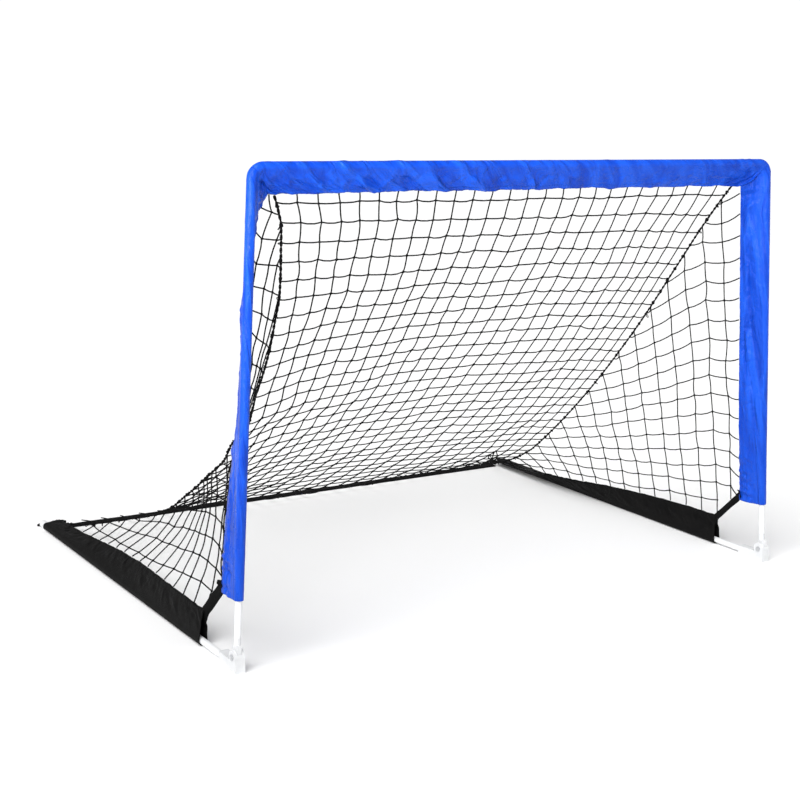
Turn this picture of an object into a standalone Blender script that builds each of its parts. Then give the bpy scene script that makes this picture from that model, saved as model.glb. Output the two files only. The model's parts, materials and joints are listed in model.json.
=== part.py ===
"""A folding soccer goal: a sleeved front frame that folds back over two base arms, with a net behind it.

Metres, +Z up. The goal opens towards -Y and its net runs back to +Y. Every place is worked out from the
plane of the posts, y = 0, and the empty "goal" then moves the whole object so that its box is centred.
"""

import math

import bmesh
import bpy
import numpy as np
from mathutils import Matrix, Vector

# Overall sizes
TOP_WIDTH = 1.194          # outside the sleeves at the crossbar
FOOT_WIDTH = 1.285         # outside the sleeves at the feet
REAR_WIDTH = 1.350         # outside the base sleeves at the rear corners
HEIGHT = 0.880             # to the top of the crossbar sleeve
ARM_REACH = 1.062          # post plane to the rear end of the arm tubes
CLEAR = 0.0004             # gap between pieces that touch

# Tubes and elbows
TUBE_RADIUS = 0.0065
TUBE_WALL = 0.0010
ELBOW_BEND = 0.0220        # bend radius of the elbow's middle line
COLLAR_LENGTH = 0.0060     # straight part of the elbow outside each tube
SPIGOT_LENGTH = 0.0340
SPIGOT_PLAY = 0.0003
ROUND_SIDES = 12
ROUND_STEPS = 10           # steps in a hinge piece's round outline
ELBOW_STEPS = 4

# Sleeves on the front frame
SLEEVE_RADIUS = 0.0085     # outside, where the sleeve goes round the tube
SLEEVE_WALL = 0.0010
SLEEVE_STEPS = 6           # round the tube
SLEEVE_FLAT = 0.0555       # tube's middle line to the hem
SHOULDER_OUT = 1.6         # where the cloth leaves the tube, in sleeve radii towards the hem
SHOULDER_HALF = 0.55       # half the cloth's thickness there, in sleeve radii
HEM_HALF = 0.0016          # half the thickness at the hem
HEM_SEAM = 0.0100          # width that is sewn shut at the hem
HEM_DROP = 0.0470          # the crossbar hem hangs this far below the tube's middle line
CORNER_IN = 0.0435         # inner corner of the hem, inwards of the post tube's middle line
POST_SLEEVE_FOOT = 0.130   # height where the post sleeves end
FOOT_TURN = 6.0            # degrees that a post hem turns inwards from straight back, at the foot
POST_TURN = 24.0           # the same along the post
TURNED_BY = 0.35           # share of the post's hem by which it has turned
MITRE_FROM = 0.60          # share from which it bends to the top corner
POST_STATIONS = 15
BAR_STATIONS = 11

# Foot hinge
PIVOT_HEIGHT = 0.0275
TONGUE_THICK = 0.0080
TONGUE_RADIUS = 0.0110
TONGUE_RISE = 0.0200       # pivot to the collar
TONGUE_INTO = 0.0020       # the tongue runs this far into the collar
COLLAR_RISE = 0.0340       # pivot to the lower end of the post tube
PIN_RADIUS = 0.0030
PIN_PLAY = 0.0003
PIN_HEAD_RADIUS = 0.0055
PIN_HEAD = 0.0025
CHEEK_PLAY = 0.0005
CHEEK_THICK = 0.0050
CHEEK_RADIUS = 0.0135
SLOT_FLOOR = 0.0040
BRACKET_LENGTH = 0.0600    # pivot to the rear end of the bracket
BRACKET_HEIGHT = 0.0200
SOCKET_START = 0.0200      # pivot to the front end of the arm tube's socket

# Base arms
ARM_HEIGHT = 0.0095        # middle line of the arm tubes above the ground
BASE_SLEEVE_FRONT = 0.150  # post plane to the front edge of the base sleeves
BASE_SLEEVE_REAR = 1.040
BASE_FLAT_FRONT = 0.0555   # tube's middle line to the upper hem, at the front
BASE_FLAT_REAR = 0.0300
BASE_LEAN_FRONT = 4.0      # degrees that the base sleeve leans inwards
BASE_LEAN_REAR = 74.0
BASE_STATIONS = 17
CAP_LENGTH = 0.0220
CAP_FLOOR = 0.0030
CAP_STRAIGHT = 0.4         # share of the floor's thickness before its edge is turned in
CAP_TIP = 0.8              # radius of its end face, in cap radii

# Webbing and cords
STRAP_WIDTH = 0.0250
STRAP_THICK = 0.0025
STRAP_LIFT = 0.0002
STRAP_MIDDLE = 1.040       # post plane to the middle of the rear strap
STRAP_STATIONS = 5
TAPE_WIDTH = 0.0200
TAPE_THICK = 0.0020
TAPE_TOP = 0.6             # tape's middle above the post sleeve's foot, in tape widths
TAPE_FOOT = 0.4            # tape's middle below the base sleeve's hem, in tape widths
TAPE_SAG = 0.0040
LOOP_RADIUS = 0.0020
LOOP_REACH = 0.0340
LOOP_START = (0.004, 0.018)  # inwards of the strap's end, and back from it
LOOP_START_BACK = 0.0080   # straight run past the arm tube's end
# The loop's turn: outwards and past the arm tube's end, first from its start and then from the tube
LOOP_OUT = ((0.012, 0.020), (0.010, 0.024), (0.006, 0.016), (-0.006, 0.012))
SEAM_RADIUS = 0.0025
SEAM_POINTS = 40
SEAM_TOP = (0.004, 0.006)  # back from the hem's top corner, and below it
SEAM_FOOT = (0.006, 0.006, 0.012)  # inwards of the strap's end, back of its middle, and up
DENSE = 400                # points on a line before it is cut into even steps

# Net
NET_CORD = 0.0030
NET_COLUMNS = 16           # across the rear net
NET_ROWS = 11              # down the rear net
SIDE_COLUMNS = 9           # along a side net
SIDE_CELL = 0.095          # height of a side net's cells
SIDE_REACH = 0.900         # post plane to the rear column of a side net
SEAM_GAP = 0.0080          # seam's middle line to the edge cord of each net
END_CELL = 0.35            # least part of a cell left at the foot or the head of a column
LACED_FROM = 0.04          # the part of the post's hem that a side net is laced to
LACED_TO = 0.84
REAR_RUN = 1.20            # power of the rear net's run back against its fall
REAR_FALL = 1.40
REAR_CROWN = 2.2           # how late the rear net turns from its middle to the seams
REAR_TOP = (0.003, 0.004)  # rear net's top, back from the crossbar's hem and below it

# How each seam hangs: drawn in, where it is drawn in most, run back, fall and pull forwards
SEAMS = {
    "right": {"draw": 0.047, "late": 1.58, "run": 0.905, "fall": 1.75, "pull": 0.003},
    "left": {"draw": 0.099, "late": 0.944, "run": 1.174, "fall": 1.60, "pull": 0.108},
}
SIDES = {"left": -1.0, "right": 1.0}

# Places that follow from the sizes
BAR_HEIGHT = HEIGHT - SLEEVE_RADIUS
POST_TOP_X = TOP_WIDTH / 2 - SLEEVE_RADIUS
POST_FOOT_X = FOOT_WIDTH / 2 - SLEEVE_RADIUS
ARM_REAR_X = REAR_WIDTH / 2 - SLEEVE_RADIUS
HEM_BACK = math.sqrt(SLEEVE_FLAT**2 - HEM_DROP**2)
HEM_HEIGHT = BAR_HEIGHT - HEM_DROP
CAP_RADIUS = ARM_HEIGHT
REACH_FRONT = CHEEK_RADIUS
LOOP_TIP = ARM_REACH + LOOP_REACH
SHIFT_BACK = (REACH_FRONT - LOOP_TIP) / 2


def material(name, colour, roughness, metallic=0.0):
    made = bpy.data.materials.new(name)
    made.use_nodes = True
    shader = made.node_tree.nodes["Principled BSDF"]
    shader.inputs["Base Color"].default_value = (*colour, 1.0)
    shader.inputs["Roughness"].default_value = roughness
    shader.inputs["Metallic"].default_value = metallic
    return made


def empty(name, place, parent=None):
    made = bpy.data.objects.new(name, None)
    bpy.context.collection.objects.link(made)
    made.parent = parent
    made.location = place
    return made


def mesh_of(name, points, faces):
    mesh = bpy.data.meshes.new(name)
    mesh.from_pydata([tuple(point) for point in points], [], faces)
    mesh.validate()
    return mesh


def add(name, mesh, finish, holder):
    """Puts a mesh drawn about the post plane's origin into the scene, under its body's empty."""
    mesh.transform(Matrix.Translation(-holder["axis"]))
    mesh.shade_smooth()
    mesh.set_sharp_from_angle(angle=math.radians(35))
    obj = bpy.data.objects.new(name, mesh)
    obj.parent = holder["empty"]
    mesh.materials.append(finish)
    bpy.context.collection.objects.link(obj)
    return obj


def combine(obj, mesh, operation, holder):
    """Joins a helper mesh to an object, or cuts it out. The helper stays in the scene, hidden."""
    mesh.transform(Matrix.Translation(-holder["axis"]))
    helper = bpy.data.objects.new(f"{obj.name}_{operation.lower()}", mesh)
    helper.parent = holder["empty"]
    helper.hide_render = True
    helper.display_type = "WIRE"
    bpy.context.collection.objects.link(helper)
    modifier = obj.modifiers.new(operation.title(), "BOOLEAN")
    modifier.operation = operation
    modifier.object = helper
    modifier.solver = "EXACT"


def fillet(before, corner, after, radius, steps):
    """Points along the arc that rounds a corner between two straight runs."""
    back = (before - corner).normalized()
    ahead = (after - corner).normalized()
    half = back.angle(ahead) / 2
    reach = radius / math.tan(half)
    middle = corner + (back + ahead).normalized() * radius / math.sin(half)
    first = corner + back * reach - middle
    last = corner + ahead * reach - middle
    normal = first.cross(last).normalized()
    turn = first.angle(last)
    return [middle + Matrix.Rotation(turn * i / steps, 3, normal) @ first for i in range(steps + 1)]


def tangents(points):
    ahead = points[1:] + points[-1:]
    behind = points[:1] + points[:-1]
    return [(b - a).normalized() for a, b in zip(behind, ahead)]


def bridge(rings, closed=False):
    """Quads between rings of the same length, given as ranges of point numbers."""
    count = len(rings[0])
    pairs = list(zip(rings, rings[1:]))
    if closed:
        pairs.append((rings[-1], rings[0]))
    return [
        (a[i], a[(i + 1) % count], b[(i + 1) % count], b[i]) for a, b in pairs for i in range(count)
    ]


def outward(name, points, faces):
    mesh = mesh_of(name, points, faces)
    shape = bmesh.new()
    shape.from_mesh(mesh)
    bmesh.ops.recalc_face_normals(shape, faces=shape.faces)
    shape.to_mesh(mesh)
    shape.free()
    return mesh


def rod(name, stations, sides=ROUND_SIDES):
    """A round solid along stations of (middle, direction, radius, reference), with flat ends."""
    points = []
    for middle, direction, radius, reference in stations:
        across = direction.cross(reference).normalized()
        up = across.cross(direction).normalized()
        for i in range(sides):
            angle = math.tau * (i + 0.5) / sides
            points.append(middle + (across * math.cos(angle) + up * math.sin(angle)) * radius)
    rings = [list(range(i * sides, (i + 1) * sides)) for i in range(len(stations))]
    faces = bridge(rings) + [tuple(rings[0]), tuple(rings[-1])]
    return outward(name, points, faces)


def pipe(name, start, end, outer, inner, reference):
    """A straight tube that is open at both ends."""
    direction = (end - start).normalized()
    across = direction.cross(reference).normalized()
    up = across.cross(direction).normalized()
    points = []
    for middle, radius in ((start, outer), (end, outer), (end, inner), (start, inner)):
        for i in range(ROUND_SIDES):
            angle = math.tau * (i + 0.5) / ROUND_SIDES
            points.append(middle + (across * math.cos(angle) + up * math.sin(angle)) * radius)
    rings = [list(range(i * ROUND_SIDES, (i + 1) * ROUND_SIDES)) for i in range(4)]
    return outward(name, points, bridge(rings, closed=True))


def extrude_side(name, outline, middle_x, thickness):
    """An outline of (y, z) points, extruded along X to the given thickness."""
    points = [Vector((middle_x + s * thickness / 2, y, z)) for s in (-1, 1) for y, z in outline]
    count = len(outline)
    rings = [list(range(count)), list(range(count, 2 * count))]
    return outward(name, points, bridge(rings) + [tuple(rings[0]), tuple(rings[1])])


def box(name, low, high):
    outline = [(low[1], low[2]), (high[1], low[2]), (high[1], high[2]), (low[1], high[2])]
    return extrude_side(name, outline, (low[0] + high[0]) / 2, high[0] - low[0])


def arc_side(middle, radius, start, end, steps):
    angles = [math.radians(start + (end - start) * i / steps) for i in range(steps + 1)]
    return [(middle[0] + radius * math.cos(a), middle[1] + radius * math.sin(a)) for a in angles]


def smooth(value):
    value = min(max(value, 0.0), 1.0)
    return value * value * (3 - 2 * value)


def sleeve_outline(radius, hem_half, reach):
    """Half of a folded cloth's section: (along, across, part), round the tube and out to the hem."""
    round_part = [
        (radius * math.cos(a), radius * math.sin(a), 0.0)
        for a in (math.radians(90 + 180 * i / SLEEVE_STEPS) for i in range(SLEEVE_STEPS + 1))
    ]
    shoulder = (SHOULDER_OUT * radius, SHOULDER_HALF * radius, 0.0)
    return (
        round_part
        + [(shoulder[0], -shoulder[1], 0.0), (reach, -hem_half, 1.0), (reach, hem_half, 1.0)]
        + [(shoulder[0], shoulder[1], 0.0)]
    )


def sleeve(name, cores, hems, alongs):
    """A hollow folded cloth from a tube's middle line, cores, which runs along alongs, out to hems."""
    skins = (
        (SLEEVE_RADIUS, HEM_HALF, 0.0),
        (SLEEVE_RADIUS - SLEEVE_WALL, HEM_HALF / 3, HEM_SEAM),
    )
    points = []
    for radius, hem_half, short in skins:
        for core, hem, along in zip(cores, hems, alongs):
            out = hem - core
            square = (out - along * out.dot(along)).normalized()
            across = along.cross(square).normalized()
            reach = out.length - short
            for u, v, part in sleeve_outline(radius, hem_half, reach):
                direction = out.normalized() if part else square
                points.append(core + direction * u + across * v)
    count = len(sleeve_outline(1.0, 0.1, 3.0))
    rings = [list(range(i * count, (i + 1) * count)) for i in range(2 * len(cores))]
    outer, inner = rings[: len(cores)], rings[len(cores):]
    faces = bridge([outer[0], inner[0]]) + bridge([outer[-1], inner[-1]])
    return outward(name, points, faces + same_cut(outer) + same_cut(inner))


def same_cut(rings):
    """Triangles between a sleeve's rings. Both of its flat sides are cut the same way, so they keep apart."""
    count = len(rings[0])
    turn, last = SLEEVE_STEPS // 2, SLEEVE_STEPS + 2
    faces = []
    for a, b in zip(rings, rings[1:]):
        for i in range(count):
            j = (i + 1) % count
            if turn <= i <= last:
                faces += [(a[i], a[j], b[j]), (a[i], b[j], b[i])]
            else:
                faces += [(a[i], a[j], b[i]), (a[j], b[j], b[i])]
    return faces


def strip(name, middles, widths, normals, thickness):
    """A flat strip through middles, each with its half-width vector and its unit normal."""
    points = []
    for middle, width, normal in zip(middles, widths, normals):
        for w, n in ((-1, -1), (1, -1), (1, 1), (-1, 1)):
            points.append(middle + width * w + normal * n * thickness / 2)
    rings = [list(range(i * 4, i * 4 + 4)) for i in range(len(middles))]
    return outward(name, points, bridge(rings) + [tuple(rings[0]), tuple(rings[-1])])


def cord(name, points, radius, finish, holder):
    """A cord as a curve with a round bevel and filled ends."""
    curve = bpy.data.curves.new(name, "CURVE")
    curve.dimensions = "3D"
    spline = curve.splines.new("POLY")
    spline.points.add(len(points) - 1)
    for knot, point in zip(spline.points, points):
        knot.co = (*(point - holder["axis"]), 1.0)
    curve.bevel_depth = radius
    curve.bevel_resolution = 1
    curve.use_fill_caps = True
    obj = bpy.data.objects.new(name, curve)
    obj.parent = holder["empty"]
    curve.materials.append(finish)
    bpy.context.collection.objects.link(obj)
    return obj


def post_core(side, height):
    """The post tube's middle line at a height."""
    share = (height - PIVOT_HEIGHT) / (BAR_HEIGHT - PIVOT_HEIGHT)
    x = POST_FOOT_X + (POST_TOP_X - POST_FOOT_X) * share
    return Vector((side * x, 0.0, height))


def arm_core(side, back):
    """The arm tube's middle line at a distance behind the posts."""
    x = POST_FOOT_X + (ARM_REAR_X - POST_FOOT_X) * back / ARM_REACH
    return Vector((side * x, back, ARM_HEIGHT))


def top_corner(side):
    return Vector((side * POST_TOP_X, 0.0, BAR_HEIGHT))


def hem_corner(side):
    """Where the crossbar's hem meets the post's hem."""
    return Vector((side * (POST_TOP_X - CORNER_IN), HEM_BACK, HEM_HEIGHT))


def elbow_arc(side, steps):
    """The bend's middle line, from the post to the crossbar."""
    return fillet(post_core(side, 0.0), top_corner(side), Vector((0, 0, BAR_HEIGHT)), ELBOW_BEND, steps)


def post_hem(side, share):
    """The post sleeve's hem, from the foot at share 0 to the top corner at share 1."""
    height = POST_SLEEVE_FOOT + (HEM_HEIGHT - POST_SLEEVE_FOOT) * share
    turn = FOOT_TURN + (POST_TURN - FOOT_TURN) * smooth(share / TURNED_BY)
    turn = math.radians(turn)
    side_on = Vector((-side * math.sin(turn), math.cos(turn), 0.0))
    along_post = post_core(side, height) + side_on * SLEEVE_FLAT
    return along_post.lerp(hem_corner(side), smooth((share - MITRE_FROM) / (1 - MITRE_FROM)))


def base_hem(side, back):
    """The base sleeve's upper hem at a distance behind the posts."""
    share = (back - BASE_SLEEVE_FRONT) / (BASE_SLEEVE_REAR - BASE_SLEEVE_FRONT)
    lean = math.radians(BASE_LEAN_FRONT + (BASE_LEAN_REAR - BASE_LEAN_FRONT) * smooth(share))
    flat = BASE_FLAT_FRONT + (BASE_FLAT_REAR - BASE_FLAT_FRONT) * share
    return arm_core(side, back) + Vector((-side * math.sin(lean), 0.0, math.cos(lean))) * flat


def strap_end(side):
    """The inner end of a base sleeve's hem, where the rear strap is sewn on."""
    return base_hem(side, BASE_SLEEVE_REAR)


def seam_line(side_name, count):
    """The seam where a side net meets the rear net, as points at even steps along it."""
    side = SIDES[side_name]
    hang = SEAMS[side_name]
    inwards, back, height = SEAM_FOOT
    top = hem_corner(side) + Vector((0.0, SEAM_TOP[0], -SEAM_TOP[1]))
    foot = Vector((side * (abs(strap_end(side).x) - inwards), STRAP_MIDDLE + back, height))
    t = np.linspace(0.0, 1.0, DENSE)
    drawn = hang["draw"] * np.sin(np.pi * t ** hang["late"])
    x = side * (abs(top.x) + (abs(foot.x) - abs(top.x)) * t - drawn)
    y = top.y + (foot.y - top.y) * t ** hang["run"] - hang["pull"] * np.sin(np.pi * t)
    z = foot.z + (top.z - foot.z) * (1 - t) ** hang["fall"]
    return even_steps(np.stack([x, y, z], axis=1), count)


def even_steps(line, count):
    """A dense line's points at even steps along its length."""
    run = np.concatenate([[0.0], np.cumsum(np.linalg.norm(np.diff(line, axis=0), axis=1))])
    at = np.linspace(0.0, run[-1], count)
    return np.stack([np.interp(at, run, line[:, axis]) for axis in range(3)], axis=1)


def rear_middle(count):
    """The rear net's profile halfway across."""
    t = np.linspace(0.0, 1.0, DENSE)
    top_y, top_z = HEM_BACK + REAR_TOP[0], HEM_HEIGHT - REAR_TOP[1]
    foot_z = STRAP_LIFT + STRAP_THICK + NET_CORD
    y = top_y + (STRAP_MIDDLE - top_y) * t**REAR_RUN
    z = foot_z + (top_z - foot_z) * (1 - t) ** REAR_FALL
    return even_steps(np.stack([0 * t, y, z], axis=1), count)


def tube_pieces(front, base, paint, plastic):
    for name, side in SIDES.items():
        arc = elbow_arc(side, ELBOW_STEPS)
        down = (post_core(side, 0.0) - top_corner(side)).normalized()
        inwards = Vector((-side, 0.0, 0.0))
        back = Vector((0.0, 1.0, 0.0))
        spigot = TUBE_RADIUS - TUBE_WALL - SPIGOT_PLAY
        post_shoulder = arc[0] + down * COLLAR_LENGTH
        bar_shoulder = arc[-1] + inwards * COLLAR_LENGTH
        stations = [
            (post_shoulder + down * SPIGOT_LENGTH, -down, spigot, back),
            (post_shoulder, -down, spigot, back),
            (post_shoulder, -down, TUBE_RADIUS, back),
        ]
        bend = tangents([post_shoulder] + arc + [bar_shoulder])[1:-1]
        stations += [(point, along, TUBE_RADIUS, back) for point, along in zip(arc, bend)]
        stations += [
            (bar_shoulder, inwards, TUBE_RADIUS, back),
            (bar_shoulder, inwards, spigot, back),
            (bar_shoulder + inwards * SPIGOT_LENGTH, inwards, spigot, back),
        ]
        add(f"corner_elbow_{name}", rod("elbow", stations), plastic, front)

        inner = TUBE_RADIUS - TUBE_WALL
        post_foot = post_core(side, PIVOT_HEIGHT) - down * (COLLAR_RISE + CLEAR)
        post_end = post_shoulder + down * CLEAR
        post = pipe("post", post_foot, post_end, TUBE_RADIUS, inner, back)
        add(f"post_tube_{name}", post, paint, front)

        start = arm_core(side, SOCKET_START + CLEAR)
        end = arm_core(side, ARM_REACH)
        arm = pipe("arm", start, end, TUBE_RADIUS, inner, Vector((0, 0, 1)))
        add(f"arm_tube_{name}", arm, paint, base)
    bend_reach = (top_corner(1.0) - elbow_arc(1.0, ELBOW_STEPS)[-1]).length
    reach = POST_TOP_X - bend_reach - COLLAR_LENGTH - CLEAR
    ends = [Vector((side * reach, 0.0, BAR_HEIGHT)) for side in (-1, 1)]
    bar = pipe("bar", ends[0], ends[1], TUBE_RADIUS, TUBE_RADIUS - TUBE_WALL, Vector((0, 1, 0)))
    add("crossbar_tube", bar, paint, front)


def hinge_tongue(name, side, front, finish):
    """The post's foot: a collar and spigot in the tube, over a flat tongue that turns on the pin."""
    pivot = (0.0, PIVOT_HEIGHT)
    neck = TUBE_RADIUS
    leave = math.degrees(math.acos(neck / TONGUE_RADIUS))
    top = PIVOT_HEIGHT + TONGUE_RISE + TONGUE_INTO
    outline = arc_side(pivot, TONGUE_RADIUS, 180, 360 + leave, ROUND_STEPS)
    outline += [(neck, top), (-TONGUE_RADIUS, top)]
    middle = post_core(side, PIVOT_HEIGHT)
    tongue = add(name, extrude_side("tongue", outline, middle.x, TONGUE_THICK), finish, front)
    up = (top_corner(side) - middle).normalized()
    back = Vector((0.0, 1.0, 0.0))
    spigot = TUBE_RADIUS - TUBE_WALL - SPIGOT_PLAY
    stations = [
        (middle + up * TONGUE_RISE, up, TUBE_RADIUS, back),
        (middle + up * COLLAR_RISE, up, TUBE_RADIUS, back),
        (middle + up * COLLAR_RISE, up, spigot, back),
        (middle + up * (COLLAR_RISE + SPIGOT_LENGTH), up, spigot, back),
    ]
    combine(tongue, rod("collar", stations), "UNION", front)
    combine(tongue, pin_rod(side, PIN_RADIUS + PIN_PLAY, TONGUE_THICK), "DIFFERENCE", front)


def pin_rod(side, radius, reach):
    middle = post_core(side, PIVOT_HEIGHT)
    across = Vector((1.0, 0.0, 0.0))
    ends = [(middle + across * s * reach, across, radius, Vector((0, 0, 1))) for s in (-1, 1)]
    return rod("pin", ends)


def hinge_pieces(front, base, metal, plastic):
    inner_half = TONGUE_THICK / 2 + CHEEK_PLAY
    outer_half = inner_half + CHEEK_THICK
    for name, side in SIDES.items():
        hinge_tongue(f"post_hinge_tongue_{name}", side, front, plastic)
        middle = post_core(side, PIVOT_HEIGHT)
        pivot = (0.0, PIVOT_HEIGHT)
        meet = -math.degrees(math.asin((PIVOT_HEIGHT - BRACKET_HEIGHT) / CHEEK_RADIUS))
        outline = [(-CHEEK_RADIUS, 0.0), (BRACKET_LENGTH, 0.0), (BRACKET_LENGTH, BRACKET_HEIGHT)]
        outline += arc_side(pivot, CHEEK_RADIUS, meet, 180, ROUND_STEPS)
        side_mesh = extrude_side("bracket", outline, middle.x, 2 * outer_half)
        bracket = add(f"foot_bracket_{name}", side_mesh, plastic, base)
        slot_low = (middle.x - inner_half, -TONGUE_RADIUS - CHEEK_PLAY, SLOT_FLOOR)
        slot_high = (middle.x + inner_half, TONGUE_RADIUS + CHEEK_PLAY, HEIGHT)
        combine(bracket, box("slot", slot_low, slot_high), "DIFFERENCE", base)
        way_low = (middle.x - inner_half, 0.0, BRACKET_HEIGHT)
        way_high = (middle.x + inner_half, BRACKET_LENGTH, HEIGHT)
        combine(bracket, box("way_back", way_low, way_high), "DIFFERENCE", base)
        start, end = arm_core(side, SOCKET_START), arm_core(side, 2 * BRACKET_LENGTH)
        along = (end - start).normalized()
        radius = TUBE_RADIUS + SPIGOT_PLAY
        up = Vector((0.0, 0.0, 1.0))
        socket = rod("socket", [(start, along, radius, up), (end, along, radius, up)])
        combine(bracket, socket, "DIFFERENCE", base)
        combine(bracket, pin_rod(side, PIN_RADIUS + PIN_PLAY, 2 * outer_half), "DIFFERENCE", base)

        across = Vector((1.0, 0.0, 0.0))
        half = outer_half + CLEAR
        steps = (
            (-half - PIN_HEAD, PIN_HEAD_RADIUS),
            (-half, PIN_HEAD_RADIUS),
            (-half, PIN_RADIUS),
            (half, PIN_RADIUS),
            (half, PIN_HEAD_RADIUS),
            (half + PIN_HEAD, PIN_HEAD_RADIUS),
        )
        stations = [(middle + across * x, across, r, up) for x, r in steps]
        add(f"hinge_pin_{name}", rod("rivet", stations), metal, base)


def end_caps(base, plastic):
    for name, side in SIDES.items():
        end = arm_core(side, ARM_REACH + CLEAR)
        along = (end - arm_core(side, 0.0)).normalized()
        mouth = end - along * CAP_LENGTH
        stations = [
            (mouth, along, CAP_RADIUS),
            (end + along * CAP_FLOOR * CAP_STRAIGHT, along, CAP_RADIUS),
            (end + along * CAP_FLOOR, along, CAP_RADIUS * CAP_TIP),
            (end, along, TUBE_RADIUS + SPIGOT_PLAY),
            (mouth, along, TUBE_RADIUS + SPIGOT_PLAY),
        ]
        add(f"arm_end_cap_{name}", cup("cap", stations), plastic, base)


def cup(name, stations):
    """A turned cup: stations run up its outside, over its floor and down its inside."""
    points = []
    for middle, along, radius in stations:
        across = along.cross(Vector((0, 0, 1))).normalized()
        up = across.cross(along).normalized()
        for i in range(ROUND_SIDES):
            angle = math.tau * (i + 0.5) / ROUND_SIDES
            points.append(middle + (across * math.cos(angle) + up * math.sin(angle)) * radius)
    rings = [list(range(i * ROUND_SIDES, (i + 1) * ROUND_SIDES)) for i in range(5)]
    faces = bridge(rings[:3]) + [tuple(rings[2]), tuple(rings[3])]
    faces += bridge(rings[3:]) + bridge([rings[4], rings[0]])
    return outward(name, points, faces)


def front_sleeves(front, cloth):
    mitre_gap = Vector((CLEAR, 0.0, CLEAR))
    for name, side in SIDES.items():
        arc = elbow_arc(side, ELBOW_STEPS)
        heights = np.linspace(POST_SLEEVE_FOOT, arc[0].z, POST_STATIONS)
        cores = [post_core(side, z) for z in heights] + arc[1:3]
        alongs = tangents(cores + arc[3:4])[:-1]
        run = [0.0]
        for a, b in zip(cores, cores[1:]):
            run.append(run[-1] + (b - a).length)
        hems = [post_hem(side, at / run[-1]) for at in run]
        shift = Vector((side * mitre_gap.x, 0.0, -mitre_gap.z))
        cores[-1] = cores[-1] + shift
        hems[-1] = hems[-1] + shift
        add(f"post_sleeve_{name}", sleeve("post_sleeve", cores, hems, alongs), cloth, front)
    left, right = elbow_arc(-1.0, ELBOW_STEPS), elbow_arc(1.0, ELBOW_STEPS)
    middle = [left[-1].lerp(right[-1], share) for share in np.linspace(0.0, 1.0, BAR_STATIONS)]
    cores = left[2:4] + middle + right[3:1:-1]
    alongs = tangents(left[1:2] + cores + right[1:2])[1:-1]
    inner = [hem_corner(-1.0), hem_corner(1.0)]
    hems = [inner[0].lerp(inner[1], i / (len(cores) - 1)) for i in range(len(cores))]
    for end, side in ((0, -1.0), (-1, 1.0)):
        shift = Vector((-side * mitre_gap.x, 0.0, mitre_gap.z))
        cores[end] = cores[end] + shift
        hems[end] = hems[end] + shift
    add("crossbar_sleeve", sleeve("crossbar_sleeve", cores, hems, alongs), cloth, front)


def base_pieces(base, cloth, webbing):
    for name, side in SIDES.items():
        backs = np.linspace(BASE_SLEEVE_FRONT, BASE_SLEEVE_REAR, BASE_STATIONS)
        cores = [arm_core(side, y) for y in backs]
        hems = [base_hem(side, y) for y in backs]
        band = sleeve("base_sleeve", cores, hems, tangents(cores))
        add(f"base_sleeve_{name}", band, cloth, base)
        corner_tape(name, side, base, webbing)
        peg_loop(name, side, base, webbing)
    half = abs(strap_end(1.0).x) - CLEAR
    middle_z = STRAP_LIFT + STRAP_THICK / 2
    along = np.linspace(-half, half, STRAP_STATIONS)
    middles = [Vector((x, STRAP_MIDDLE, middle_z)) for x in along]
    widths = [Vector((0.0, STRAP_WIDTH / 2, 0.0))] * STRAP_STATIONS
    normals = [Vector((0.0, 0.0, 1.0))] * STRAP_STATIONS
    add("rear_strap", strip("strap", middles, widths, normals, STRAP_THICK), webbing, base)


def corner_tape(name, side, base, webbing):
    """The net's edge tape, bare between the post sleeve's foot and the base sleeve's front corner."""
    top = post_hem(side, 0.0) + Vector((0.0, HEM_HALF, TAPE_WIDTH * TAPE_TOP))
    foot = base_hem(side, BASE_SLEEVE_FRONT) + Vector((0.0, -CLEAR, -TAPE_WIDTH * TAPE_FOOT))
    middles = [top.lerp(foot, share) for share in (0.0, 0.33, 0.66, 1.0)]
    for i in (1, 2):
        middles[i] = middles[i] + Vector((0.0, -TAPE_SAG, -TAPE_SAG))
    widths = [Vector((0.0, 0.0, TAPE_WIDTH / 2))] * 4
    normals = [Vector((1.0, 0.0, 0.0))] * 4
    add(f"corner_tape_{name}", strip("tape", middles, widths, normals, TAPE_THICK), webbing, base)


def peg_loop(name, side, base, webbing):
    """A loop for a ground peg, from the strap's end out past the arm's cap."""
    inwards, back = LOOP_START
    start = strap_end(side) + Vector((-side * inwards, back, 0.0))
    start.z = LOOP_RADIUS + STRAP_LIFT + STRAP_THICK + CLEAR
    tip = Vector((side * ARM_REAR_X, LOOP_TIP - LOOP_RADIUS, start.z))
    (turn, rise), *rest = LOOP_OUT
    route = [start, Vector((start.x, ARM_REACH + LOOP_START_BACK, start.z))]
    route += [Vector((start.x + side * turn, ARM_REACH + rise, start.z)), tip]
    route += [Vector((side * (ARM_REAR_X + out), ARM_REACH + far, start.z)) for out, far in rest]
    cord(f"peg_loop_{name}", route, LOOP_RADIUS, webbing, base)


def lattice(name, points, faces, webbing, holder):
    """A net: a sheet of cells turned into cords of one thickness."""
    mesh = outward(name, points, faces)
    obj = add(name, mesh, webbing, holder)
    cords = obj.modifiers.new("Cords", "WIREFRAME")
    cords.thickness = NET_CORD
    cords.use_even_offset = True
    cords.use_boundary = True
    cords.use_replace = True
    return obj


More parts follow.
